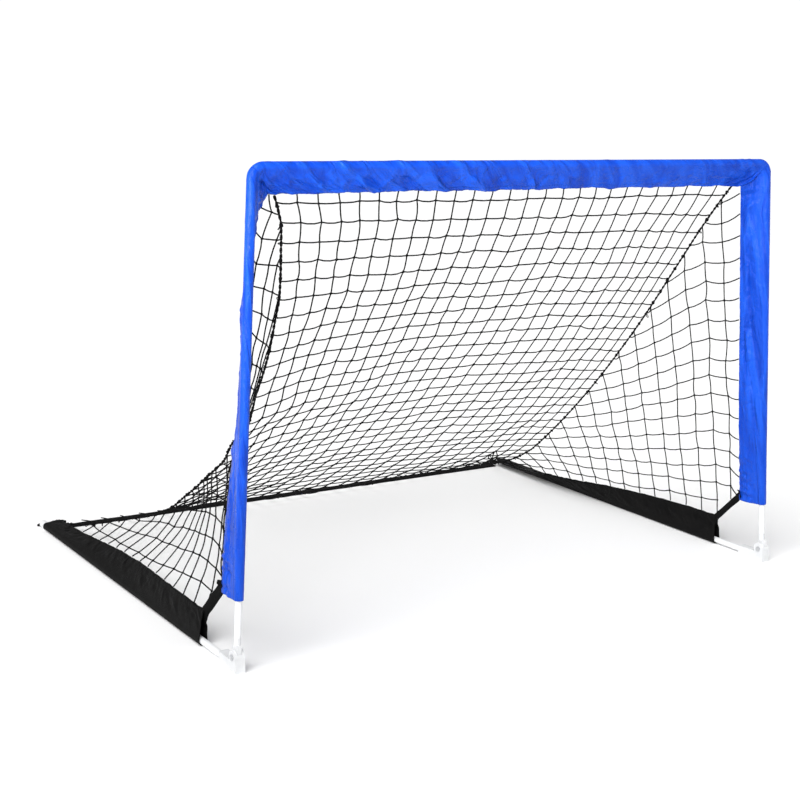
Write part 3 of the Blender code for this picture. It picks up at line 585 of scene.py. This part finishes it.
def light():
    """A studio, white low down and behind with a dimmer ceiling, a wide soft sun and two soft boxes."""
    bpy.context.scene.view_settings.view_transform = "Standard"
    world = bpy.data.worlds.new("studio")
    bpy.context.scene.world = world
    world.use_nodes = True
    tree = world.node_tree
    background = tree.nodes["Background"]
    place = node(tree, "ShaderNodeTexCoord").outputs["Generated"]
    parts = node(tree, "ShaderNodeSeparateXYZ", inputs={"Vector": place})
    low = ramp(tree, parts.outputs["Z"], 1.0, 0.0, 0.12, 0.40)
    behind = ramp(tree, parts.outputs["Y"], 0.0, 1.0, 0.05, 0.35)
    around = ramp(tree, parts.outputs["Z"], 1.0, 0.0, 0.13, 0.21)
    white = combined(tree, "MULTIPLY", low, behind)
    bright = combined(tree, "MAXIMUM", white, around)
    tree.links.new(ramp(tree, bright, 0.32, 1.0, 0.0, 1.0), background.inputs["Color"])
    background.inputs["Strength"].default_value = 1.05
    data = bpy.data.lights.new("sun", "SUN")
    data.energy = 3.05
    data.angle = math.radians(50.0)
    sun = placed("sun", data)
    sun.rotation_euler = Vector((0.75, 0.62, -1.15)).to_track_quat("-Z", "Y").to_euler()
    # Each lamp's name, place, target, size, spread in degrees and power in watts
    lamps = (
        ("key", (-3.0, -1.7, 0.95), (-0.3, -0.5, 1.08), 0.8, 40.0, 3.5),
        ("front", (-1.9, -2.2, 1.25), (-0.30, -0.5, 1.02), 0.8, 46.0, 3.6),
    )
    for name, spot, target, size, spread, power in lamps:
        data = bpy.data.lights.new(name, "AREA")
        data.size = size
        data.energy = power
        data.spread = math.radians(spread)
        obj = placed(name, data)
        obj.location = spot
        aim = Vector(target) - Vector(spot)
        obj.rotation_euler = aim.to_track_quat("-Z", "Y").to_euler()


# Sleeves of the front frame

def wave_noise(x, y, seed):
    return noise.noise(Vector((x, y, seed)))


def creases(*groups):
    """Random creases on a band, each a middle, a direction, a length, a width and a height.

    A group says where along and across the band they may lie, how many there are, the tilt of their run and
    its spread in degrees, the greatest height either way, a seed, and the least and most length and width.
    """
    made = []
    for span, band, count, tilt, spread, size, seed, *sizes in groups:
        draw = np.random.default_rng(seed)
        long, wide = sizes or PLAIN_CREASE
        for _ in range(count):
            angle = math.radians(tilt + spread * draw.normal())
            height = size * draw.uniform(0.35, 1.0) * draw.choice((-1.0, 1.0))
            middle = draw.uniform(*span), draw.uniform(*band)
            run = math.cos(angle), math.sin(angle)
            made.append((*middle, *run, draw.uniform(*long), draw.uniform(*wide), height))
    return made


def crease_heights(made, s, v):
    """Heights of the creases over arrays of places. Each is steep on one side and soft on the other."""
    total = np.zeros_like(v)
    for s0, v0, c, d, long, wide, high in made:
        near = np.abs(s[:, 0] - s0) < CREASE_REACH
        ds, dv = s[near] - s0, v[near] - v0
        along, off = ds * c + dv * d, -ds * d + dv * c
        width = wide * np.where(off * high > 0, SOFT_SIDE, STEEP_SIDE)
        total[near] += high * np.exp(-(along / long) ** 2 - (off / width) ** 2)
    return total


def fold_section(reach):
    """Half-open loop of a folded cloth: from one hem edge round the tube to the other, as (out, across)."""
    leave = math.acos((SLEEVE_RADIUS - HEM_HALF) / reach)
    on_tube = (SLEEVE_RADIUS * math.cos(leave), SLEEVE_RADIUS * math.sin(leave))
    flat = [tuple(lerp((reach, HEM_HALF), on_tube, i / FLAT_STEPS)) for i in range(FLAT_STEPS)]
    arc = []
    for i in range(ROUND_STEPS + 1):
        angle = leave + (math.tau - 2 * leave) * i / ROUND_STEPS
        arc.append((SLEEVE_RADIUS * math.cos(angle), SLEEVE_RADIUS * math.sin(angle)))
    return flat + arc + [(out, -across) for out, across in flat[::-1]]


def cloth_band(name, cores, hems, made, finish, slot, flutter, bunched):
    """A folded cloth from a tube's middle line out to its hem, wrinkled, as one sheet with its edges."""
    cores, hems = np.asarray(cores), np.asarray(hems)
    ahead = tangents(cores)
    run = run_along(cores)
    outs = hems - cores
    reach = np.linalg.norm(outs, axis=1)
    outs /= reach[:, None]
    square = outs - ahead * np.sum(outs * ahead, axis=1, keepdims=True)
    square /= np.linalg.norm(square, axis=1, keepdims=True)
    across = np.cross(ahead, square)
    bunch = [0.5 + wave_noise(s * 17.0, 0.0, 8.0) + 0.6 * wave_noise(s * 46.0, 0.0, 9.0) for s in run]
    reach = reach * (1.0 - bunched * np.array(bunch))
    sections = np.array([fold_section(r) for r in reach])
    out, thick = sections[:, :, 0], sections[:, :, 1]
    tall, wide = out.shape
    along = run[:, None] * np.ones((1, wide))
    share = np.clip((out - SLEEVE_RADIUS) / (reach[:, None] - SLEEVE_RADIUS), 0.0, 1.0)
    front = np.where(np.arange(wide) < wide / 2, 1.0, -1.0)[None, :]
    lift = crease_heights(made, along, out)
    near = share[:, :FLAT_STEPS + 2]
    soft = np.array([[wave_noise(s * 22.0, t * 2.0, 3.0) for t in row] for s, row in zip(run, near)])
    soft = np.concatenate([soft, np.zeros((tall, wide - 2 * soft.shape[1])), soft[:, ::-1]], axis=1)
    grain = np.array([[wave_noise(s * 75.0, u * 95.0, 11.0 * f) for u, f in zip(row, front[0])]
                      for s, row in zip(run, out)])
    pucker = np.array([wave_noise(s * 190.0, 0.0, 15.0) for s in run])[:, None]
    pucker = pucker * smooth((share - 0.75) / 0.15)
    free = smooth(share * 2.5)
    shift = lift * free + np.array([flutter(s) for s in run])[:, None] * smooth(share)
    shift += front * PUFF * np.sin(math.pi * share) * (1.0 + 1.5 * soft)
    shift += 0.0008 * grain * smooth(share * 3.0) + 0.0009 * pucker
    swell = np.maximum(lift, 0.0) * 0.45 * (1.0 - free)
    length = np.maximum(np.hypot(out, thick), 1e-6)
    u = out + swell * out / length
    v = thick + swell * thick / length + shift
    direction = outs[:, None] * share[:, :, None] + square[:, None] * (1 - share[:, :, None])
    places = cores[:, None] + direction * u[:, :, None] + across[:, None] * v[:, :, None]
    steps = [np.diff(part, axis=1, prepend=part[:, :1]) for part in (out, thick)]
    across_run = np.cumsum(np.hypot(*steps), axis=1)
    shape = Shape()
    shape.grid(list(places), [list(zip(a, b)) for a, b in zip(along.tolist(), across_run.tolist())])
    piece = shape.piece(name, finish, slot)
    sheet = piece.modifiers.new("Cloth thickness", "SOLIDIFY")
    sheet.thickness = CLOTH_THICK
    sheet.offset = 0.0
    return piece, (float(run[-1]), float(np.mean(across_run[:, -1]))), places


def elbow_arc(side):
    """The elbow's middle line, from the post round to the crossbar."""
    top = np.array((side * POST_TOP_X, 0.0, BAR_HEIGHT))
    down = unit(post_core(side, 0.0) - top)
    level = np.array((-side, 0.0, 0.0))
    half = math.acos(down.dot(level)) / 2
    middle = top + unit(down + level) * ELBOW_BEND / math.sin(half)
    reach = ELBOW_BEND / math.tan(half)
    first, last = top + down * reach - middle, top + level * reach - middle
    total = math.acos(unit(first).dot(unit(last)))
    arc = []
    for i in range(ELBOW_STEPS + 1):
        a = total * i / ELBOW_STEPS
        arc.append(middle + (first * math.sin(total - a) + last * math.sin(a)) / math.sin(total))
    return np.array(arc)


def post_sleeve(name, side, blue):
    arc = elbow_arc(side)
    heights = np.linspace(POST_SLEEVE_FOOT, arc[0][2], LONG_STEPS)
    cores = np.array([post_core(side, z) for z in heights] + list(arc[1:ELBOW_HALF + 1]))
    run = run_along(cores)
    hems = [post_hem(side, s / run[-1]) for s in run]
    seed, rough = (20, 0.5) if side < 0 else (30, 1.0)
    made = creases(
        ((0.0, 0.74), (0.012, 0.052), 70, 10, 40, 0.0013 * rough, seed),
        ((0.05, 0.70), (0.014, 0.046), 26, 6, 10, 0.0026, seed + 1, (0.03, 0.08), (0.003, 0.006)),
        ((0.0, 0.70), (0.012, 0.050), 26, 70, 25, 0.0022 * rough, seed + 2, (0.012, 0.025), (0.002, 0.004)),
        ((0.0, 0.09), (0.010, 0.054), 22, 75, 30, 0.0024, seed + 3, (0.012, 0.03), (0.003, 0.005)),
        ((0.66, 0.75), (0.006, 0.054), 16, 80, 22, 0.0030, seed + 4, (0.012, 0.03), (0.003, 0.005)),
    )

    def flutter(s):
        ripple = 0.0045 * math.exp(-((s - 0.268) / 0.014) ** 2) if side < 0 else 0.0
        return 0.0022 * wave_noise(s * 6.0, side, 1.0) + 0.0010 * wave_noise(s * 25.0, side, 2.0) + ripple

    return cloth_band(f"post_cloth_{name}", cores, hems, made, blue, "blue_polyester", flutter, 0.02)


def bar_sleeve(blue):
    left, right = elbow_arc(-1.0), elbow_arc(1.0)
    straight = [lerp(left[-1], right[-1], t) for t in np.linspace(0.0, 1.0, BAR_STEPS)]
    cores = np.array(list(left[ELBOW_HALF:-1]) + straight + list(right[ELBOW_HALF:-1][::-1]))
    run = run_along(cores)
    hems = [lerp(hem_corner(-1.0), hem_corner(1.0), s / run[-1]) for s in run]
    made = creases(
        ((0.0, 0.62), (0.006, 0.054), 90, 42, 24, 0.0013, 41, (0.008, 0.022), (0.0016, 0.003)),
        ((0.03, 0.60), (0.008, 0.044), 34, 52, 9, 0.0046, 42, (0.022, 0.042), (0.004, 0.008)),
        ((0.05, 0.70), (0.010, 0.044), 12, 125, 12, 0.0026, 47, (0.014, 0.028), (0.003, 0.006)),
        ((0.55, 1.17), (0.006, 0.054), 90, 12, 28, 0.0012, 43, (0.008, 0.024), (0.0016, 0.003)),
        ((0.55, 1.14), (0.010, 0.046), 30, 24, 18, 0.0032, 44, (0.022, 0.050), (0.004, 0.008)),
        ((0.0, 0.05), (0.004, 0.054), 14, 80, 22, 0.0034, 45, (0.012, 0.03), (0.003, 0.005)),
        ((1.12, 1.17), (0.004, 0.054), 14, 100, 20, 0.0034, 46, (0.012, 0.03), (0.003, 0.005)),
    )

    def flutter(s):
        return 0.0018 * wave_noise(s * 5.0, 4.0, 1.0) + 0.0010 * wave_noise(s * 24.0, 4.0, 2.0)

    return cloth_band("crossbar_cloth", cores, hems, made, blue, "blue_polyester", flutter, 0.06)


def front_cloths(bar_blue, post_blue):
    for name, side in SIDES.items():
        piece, flat, rows = post_sleeve(name, side, post_blue)
        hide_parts(f"post_sleeve_{name}")
        folds_flat(piece, sleeve_ends)
        stitches(f"post_stitch_{name}", rows, post_blue)
    piece, flat, rows = bar_sleeve(bar_blue)
    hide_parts("crossbar_sleeve")
    folds_flat(piece, sleeve_ends)
    stitches("crossbar_stitch", rows, bar_blue)


def stitches(name, rows, finish, slot="blue_polyester", ends=sleeve_ends):
    """A row of lock stitches on both faces of a hem."""
    rows = rows[:, (STITCH_ROW, -1 - STITCH_ROW)]
    shape = Shape()
    for face in (0, 1):
        line = even_steps(rows[:, face], int(length_of(rows[:, face]) / STITCH_STEP))
        other = even_steps(rows[:, 1 - face], len(line))
        for i in range(0, len(line) - 2, 2):
            away = unit(line[i] - other[i]) * STITCH_LIFT
            middle = lerp(line[i], line[i + 1], 0.5) + away
            shape.tube([line[i] + away * 0.4, middle, line[i + 1] + away * 0.4], STITCH_RADIUS, 4)
    piece = shape.piece(name, finish, slot)
    folds_flat(piece, ends)


# Base

def base_cloth(name, side, black):
    backs = np.linspace(BASE_FRONT, BASE_REAR, LONG_STEPS)
    cores = np.array([arm_core(side, y) for y in backs])
    hems = [base_hem(side, y) for y in backs]
    made = creases(
        ((0.0, 0.89), (0.010, 0.054), 70, 15, 35, 0.0010, 51 if side < 0 else 52),
        ((0.0, 0.85), (0.014, 0.046), 26, 35, 15, 0.0022, 53, (0.02, 0.05), (0.004, 0.008)),
    )

    def flutter(s):
        return 0.0018 * wave_noise(s * 7.0, side, 5.0) + 0.0007 * wave_noise(s * 30.0, side, 6.0)

    piece, flat, rows = cloth_band(
        f"base_cloth_{name}", cores, hems, made, black, "black_oxford", flutter, 0.03
    )
    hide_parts(f"base_sleeve_{name}")
    folds_flat(piece, base_flap_ends)
    stitches(f"base_stitch_{name}", rows, black, "black_oxford", base_flap_ends)


def webbing_strip(name, line, edges, width, thick, finish):
    """Flat webbing along a line. edges give the direction of its width at each point."""
    line, edges = np.asarray(line), np.asarray(edges)
    half, deep = width / 2, thick / 2
    inner = half - deep * 0.6
    section = [(-half, 0), (-inner, deep), (0, deep), (inner, deep),
               (half, 0), (inner, -deep), (0, -deep), (-inner, -deep)]
    sides = [math.dist(a, b) for a, b in zip(section, section[1:] + section[:1])]
    rings = []
    for place, forward, edge in zip(line, tangents(line), edges):
        edge = unit(edge - forward * np.dot(edge, forward))
        face = np.cross(forward, edge)
        rings.append([place + edge * u + face * v for u, v in section])
    shape = Shape()
    shape.loft(rings, run_along(line), np.concatenate([[0.0], np.cumsum(sides)]))
    return shape.piece(name, finish, "webbing")


def curve_through(stops, count):
    """A smooth line through a few points, at even steps."""
    stops = [np.asarray(p, float) for p in stops]
    stops = [2 * stops[0] - stops[1]] + stops + [2 * stops[-1] - stops[-2]]
    line = []
    for a, b, c, d in zip(stops, stops[1:], stops[2:], stops[3:]):
        for t in np.linspace(0.0, 1.0, 24, endpoint=False):
            line.append(0.5 * (2 * b + (c - a) * t + (2 * a - 5 * b + 4 * c - d) * t**2
                               + (3 * b - a - 3 * c + d) * t**3))
    return even_steps(np.array(line + [stops[-2]]), count)


def rear_strap(finish):
    half = abs(base_hem(1.0, BASE_REAR)[0]) - 0.0004
    along = np.linspace(-half, half, 110)
    line, edges = [], []
    for x in along:
        hold = float(smooth((half - abs(x)) / 0.06))
        twist = hold * (0.06 + 0.10 * wave_noise(x * 4.0, 0.0, 21.0))
        rise = abs(math.sin(twist)) * STRAP_WIDTH / 2
        line.append((x, STRAP_MIDDLE + hold * 0.004 * wave_noise(x * 3.0, 1.0, 22.0), 0.0018 + rise))
        edges.append((0.0, math.cos(twist), math.sin(twist)))
    piece = webbing_strip("ground_strap", line, edges, STRAP_WIDTH, STRAP_THICK, finish)
    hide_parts("rear_strap")
    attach(piece, "base")


def corner_tape(name, side, finish):
    """The net's edge tape from the post cloth's foot to the base cloth's front corner and down its front."""
    high = post_hem(side, 0.03) + np.array((0.0, 0.0026, 0.0))
    top = post_hem(side, 0.0) + np.array((0.0, 0.0032, 0.006))
    foot = base_hem(side, BASE_FRONT) + np.array((-side * 0.0010, -0.0010, -0.0040))
    below = base_hem(side, BASE_FRONT + 0.010) + np.array((-side * 0.0030, 0.0, -0.026))
    stops = [high, top, lerp(top, foot, 0.35), lerp(top, foot, 0.75), foot, below]
    twist = 0.9 if side < 0 else 0.3
    turns = twist * np.sin(math.pi * np.linspace(0, 1, TAPE_STEPS))
    edges = [(side * math.sin(turn), 0.3, 1.0) for turn in turns]
    line = curve_through(stops, TAPE_STEPS)
    piece = webbing_strip(f"edge_tape_{name}", line, edges, TAPE_WIDTH, TAPE_THICK, finish)
    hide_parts(f"corner_tape_{name}")
    folds_flat(piece, net_ends)


def peg_loop(name, side, finish):
    """A loop of cord for a ground peg, tied at the strap's end."""
    end = base_hem(side, BASE_REAR)
    start = np.array((end[0] - side * 0.004, STRAP_MIDDLE + 0.016, 0.0051))
    stops = [start, (start[0], ARM_REACH + 0.008, 0.0051),
             (start[0] + side * 0.012, ARM_REACH + 0.020, 0.0046)]
    for out, back, height in ((-0.003, 0.0305, 0.0024), (0.0085, 0.022, 0.0024), (0.004, 0.012, 0.0040),
                              (-0.008, 0.0085, 0.0050), (-0.020, 0.004, 0.0056)):
        stops.append((side * (ARM_REAR_X + out), ARM_REACH + back, height))
    line = curve_through(stops, 60)
    shape = Shape()
    shape.tube(line, PEG_CORD / 2, 8)
    piece = shape.piece(f"ground_peg_loop_{name}", finish, "webbing")
    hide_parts(f"peg_loop_{name}")
    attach(piece, "base")
    length_of(line)
    knot = Shape()
    middle = np.array((end[0] - side * 0.002, STRAP_MIDDLE + 0.004, 0.012))
    for turn in range(3):
        ring = []
        for a in np.linspace(0.0, math.tau, 19):
            flat = np.array((math.cos(a), math.sin(a), 0.35 * math.sin(2 * a + turn)))
            spin = np.array(Matrix.Rotation(0.9 * turn + 0.4, 3, Vector((1.0, 0.4 * turn, 0.3))))
            ring.append(middle + spin @ flat * PEG_KNOT)
        knot.tube(np.array(ring), COIL_CORD, 7)
    tall, reach = (0.030, 0.013) if side > 0 else (0.007, 0.010)
    for lean in (-1.0, 1.0):
        bow = [middle, middle + (-side * reach * 0.4 * lean, 0.004, tall * 0.6),
               middle + (-side * reach * lean, 0.002, tall * (0.95 if lean < 0 else 0.4)),
               middle + (-side * reach * 1.1 * lean, -0.004, tall * 0.4),
               middle + (-side * reach * 0.3 * lean, -0.002, 0.001)]
        knot.tube(curve_through(bow, 22), BOW_CORD, 7)
    piece = knot.piece(f"strap_knot_{name}", finish, "webbing")
    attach(piece, "base")


# Net

def wander(points, size, scale, seed):
    """Moves points a little, smoothly, so that a net hangs unevenly."""
    moved = []
    for p in points:
        at = Vector(p) * scale
        moved.append(np.asarray(p) + size * np.array([
            noise.noise(at + Vector((seed, 0, 0))),
            noise.noise(at + Vector((0, seed, 9))),
            noise.noise(at + Vector((5, 0, seed))),
        ]))
    return np.array(moved)


def bar(a, b, drop, aside=0.0):
    """Points from one knot almost to the next: a small sag and a small bow."""
    points = []
    for share in (0.0, 0.3, 0.65):
        bend = math.sin(math.pi * share)
        points.append(lerp(a, b, share) + np.array((aside * bend, 0.0, -drop * bend)))
    return points


def rear_knots():
    """Knots of the rear net, in rows down from the crossbar."""
    middle = rear_middle()
    seams = {name: seam_line(name, LINE_STEPS) for name in SIDES}
    total = length_of(middle)
    steps = [0.0, *np.arange(ROW_START, total - 0.4 * MESH, MESH), total]
    grid = []
    for step in steps:
        share = step / total
        place = at_lengths(middle, [step])[0]
        ends = {}
        for name, offset, power in (("left", -0.035, 1.0), ("right", 0.058, 0.6)):
            at = share + offset * math.sin(math.pi * min(share, 1.0) ** power)
            ends[name] = at_lengths(seams[name], [at * length_of(seams[name])])[0]
        row = []
        for column in range(NET_COLUMNS + 1):
            u = 2 * column / NET_COLUMNS - 1
            edge = ends["left" if u < 0 else "right"]
            p = place + (edge - place) * abs(u) ** 2.2
            p[0] = u * abs(edge[0])
            p[2] = max(p[2], middle[-1][2])
            row.append(p)
        grid.append(row)
    grid = np.array(grid)
    grid[0, 1:-1, 2] += 0.010
    grid[0, 1:-1, 1] -= 0.002
    return grid


def rear_net(finish):
    grid = rear_knots()
    tall, wide = grid.shape[:2]
    loose = np.array([wander(row, size=0.0045, scale=7.0, seed=2.0) for row in grid])
    edge = np.minimum(np.arange(wide), wide - 1 - np.arange(wide))
    hold = smooth(edge / 2.0)[None, :, None] * np.ones((tall, 1, 1))
    hold[0] = hold[-1] = 0.0
    grid = grid + (loose - grid + RANDOM.normal(0.0, 0.0010, grid.shape)) * hold
    grid[:, :, 2] = np.maximum(grid[:, :, 2], NET_LOWEST)
    shape = Shape()
    for row in grid[1:-1]:
        shape.strand(row, sag=(0.0004, 0.0030))
    for column in range(1, wide - 1):
        shape.strand(grid[:, column], bow=0.0009)
    for row in grid[1:-1]:
        for p in row[1:-1]:
            shape.lump(p, KNOT)
    piece = shape.piece("net_rear", finish, "net_twine")
    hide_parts("rear_net")
    folds_flat(piece, net_ends)


def side_foot(side, y):
    """The lower edge of a side net: on the corner tape, then on the base cloth's hem."""
    if y >= BASE_FRONT:
        return base_hem(side, y) + np.array((0.0, 0.0, 0.0012))
    top = post_hem(side, 0.0) + np.array((0.0, HEM_HALF, 0.022))
    low = base_hem(side, BASE_FRONT) + np.array((0.0, 0.0, 0.002))
    return lerp(top, low, (y - top[1]) / (low[1] - top[1]))


def row_height(name, row, y):
    """Height of a side net's row at a distance behind the posts."""
    low, step, grow, rate, ease, begin = SIDE_HANGS[name]["rows"]
    level = low + step * row + grow * row * row
    drawn = np.exp(-max(rate - ease * row, 0.9) * np.maximum(y - begin, 0.0))
    return level * drawn * np.interp(y, *np.array(SIDE_HANGS[name]["swell"]).T)


def side_columns(name, side, seam):
    """Uprights of a side net, each as dense points from its foot to the seam or to the post's hem."""
    hang = SIDE_HANGS[name]
    hem = np.array([post_hem(side, s) for s in np.linspace(1.0, 0.02, 200)])
    edge = np.concatenate([seam[::-1] + np.array((side * 0.002, 0, 0)), hem + np.array((0, 0.003, 0))])
    most, begin, fall, least = hang["back"]
    columns = []
    for y in hang["feet"]:
        foot = side_foot(side, y)
        back = max(most - fall * max(y - begin, 0.0), least)
        off = abs(edge[:, 1] - back * (edge[:, 2] - foot[2]) - y)
        on_seam = off[:len(seam)]
        head = edge[int(np.argmin(on_seam if on_seam.min() < 0.003 else off))]
        if head[2] - foot[2] > 0.010:
            share = np.linspace(0.0, 1.0, 200)[:, None]
            dense = lerp(foot, head, share)
            hollow = np.interp(y, *np.array(hang["hollow"]).T)
            dense[:, 0] = foot[0] + (head[0] - foot[0]) * (1 - (1 - share[:, 0]) ** hollow)
            columns.append(dense)
    for short in hang["short"]:
        places, shares = np.array(short).T
        heights = np.linspace(places[0], places[-1], 120)
        way = np.interp(heights, places, shares)[:, None]
        columns.append(lerp(at_heights(hem, heights), at_heights(seam, heights), way))
    return columns


def side_knots(name, columns):
    """Where the rows of a side net cross its uprights."""
    crossings = []
    for dense in columns:
        column = {}
        for row in range(SIDE_ROWS):
            over = dense[:, 2] - row_height(name, row, dense[:, 1])
            if over[0] < -0.006 and over[-1] > 0.006:
                column[row] = dense[int(np.argmin(abs(over)))]
        crossings.append(column)
    return crossings


def side_net(name, side, finish):
    hang = SIDE_HANGS[name]
    seam = seam_line(name, LINE_STEPS)
    columns = side_columns(name, side, seam)
    knots = []
    for column in side_knots(name, columns):
        knots.append({row: wander([place], size=0.005, scale=9.0, seed=side * 3.0)[0]
                      + RANDOM.normal(0.0, 0.0008, 3)
                      for row, place in column.items()})
    shape = Shape()
    for dense, column in zip(columns, knots):
        shape.strand([dense[0]] + [column[row] for row in sorted(column)] + [dense[-1]], bow=0.0010)
        for place in column.values():
            shape.lump(place, KNOT)
    for row in range(SIDE_ROWS):
        height = float(row_height(name, row, 0.045))
        if height > TOP_ROW:
            continue
        stops = sorted((column[row] for column in knots if row in column), key=lambda place: place[1])
        offset, slope = hang["lacing"]
        on_post = laced_point(side, height + offset + (height - 0.2) * slope)
        if on_post is not None:
            stops.insert(0, on_post)
        behind = seam[seam[:, 1] > (stops[-1][1] if stops else 0.0)]
        if len(behind):
            off = abs(behind[:, 2] - row_height(name, row, behind[:, 1]))
            stops.append(behind[int(np.argmin(off))])
        if len(stops) > 1:
            shape.strand(stops, sag=hang["sag"])
    piece = shape.piece(f"net_side_{name}", finish, "net_twine")
    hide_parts(f"side_net_{name}")
    folds_flat(piece, net_ends)


def laced_point(side, z):
    """Where a level row of a side net is laced to the post's hem."""
    places = np.array([post_hem(side, s) for s in np.linspace(0.0, 0.99, 160)])
    if not places[0][2] < z < places[-1][2]:
        return None
    return places[int(np.argmin(abs(places[:, 2] - z)))] + np.array((0.0, HEM_HALF, 0.0))


def seam_cord(name, side, finish):
    """The seam: two strands twisted together, with a knot and a loose loop at each row of the net."""
    line = seam_line(name, SEAM_STEPS)
    run = run_along(line)
    shape = Shape()
    up = np.array((0.0, 0.3, 1.0))
    strands = [[], []]
    thick = SEAM_STRAND[side]
    for p, forward, s in zip(line, tangents(line), run):
        up = unit(up - forward * up.dot(forward))
        right = np.cross(forward, up)
        for k in (0, 1):
            a = math.tau * s / SEAM_TWIST + math.pi * k
            strands[k].append(p + (up * math.cos(a) + right * math.sin(a)) * thick * 0.9)
    for strand in strands:
        shape.tube(np.array(strand), thick)
    s = 0.02
    while s < run[-1] - 0.01:
        p = at_lengths(line, [s])[0]
        shape.lump(p, RANDOM.uniform(0.9, 1.35) * SEAM_KNOT)
        tip = RANDOM.normal(0.0, 0.0020, 3) + np.array((side * 0.001, 0.0, -0.003))
        aside = RANDOM.normal(0.0, 0.0014, 3)
        loop = [p, p + tip * 0.7 + aside, p + tip * 1.3, p + tip * 0.7 - aside, p]
        shape.tube(curve_through(loop, 14), SEAM_CURL, 5)
        s += MESH * RANDOM.uniform(0.8, 1.1)
    piece = shape.piece(f"seam_lacing_{name}", finish, "net_twine")
    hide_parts(f"seam_cord_{name}")
    folds_flat(piece, net_ends)


def cad_finishes(frame, finishes):
    for entry in frame["record"]["subparts"]:
        if entry["material_slot"] in finishes:
            for place in frame["nodes"][entry["node"]].material_slots:
                place.material = finishes[entry["material_slot"]]


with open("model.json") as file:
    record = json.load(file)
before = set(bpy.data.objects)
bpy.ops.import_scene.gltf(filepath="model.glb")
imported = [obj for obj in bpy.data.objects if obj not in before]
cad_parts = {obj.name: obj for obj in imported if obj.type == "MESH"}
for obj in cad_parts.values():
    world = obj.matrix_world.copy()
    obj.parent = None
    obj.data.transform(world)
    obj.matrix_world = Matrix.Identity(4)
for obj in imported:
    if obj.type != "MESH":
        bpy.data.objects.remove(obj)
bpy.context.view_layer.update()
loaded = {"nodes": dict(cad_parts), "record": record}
camera()
floor()
light()
BLACK, WEBBING, TWINE_FINISH = black_cloth(), webbing(), twine()
BLUE_BAR = blue_cloth("blue_polyester_bar", -0.85, (8.0, 34.0, 1.0), (0.50, 0.80))
BLUE_POST = blue_cloth("blue_polyester_post", 0.10, (6.0, 46.0, 1.0), (0.0, 3.0))
cad_finishes(loaded, {
    "tube_white": grained("white_tube_paint", 9.0, (0.74, 0.75, 0.76), (0.82, 0.83, 0.84), (900.0, 2.0, 0.5),
                          (0.28, 0.42), 0.25, Coat_Weight=0.15, Coat_Roughness=0.2),
    "moulded_plastic": grained("moulded_plastic", 22.0, (0.66, 0.67, 0.68), (0.75, 0.76, 0.77),
                               (1400.0, 2.0, 0.6), (0.40, 0.56), 0.35),
    "zinc_pin": zinc(),
})
front_cloths(BLUE_BAR, BLUE_POST)
for side_name, side_sign in SIDES.items():
    base_cloth(side_name, side_sign, BLACK)
    corner_tape(side_name, side_sign, WEBBING)
    peg_loop(side_name, side_sign, WEBBING)
    side_net(side_name, side_sign, TWINE_FINISH)
    seam_cord(side_name, side_sign, TWINE_FINISH)
rear_strap(WEBBING)
rear_net(TWINE_FINISH)
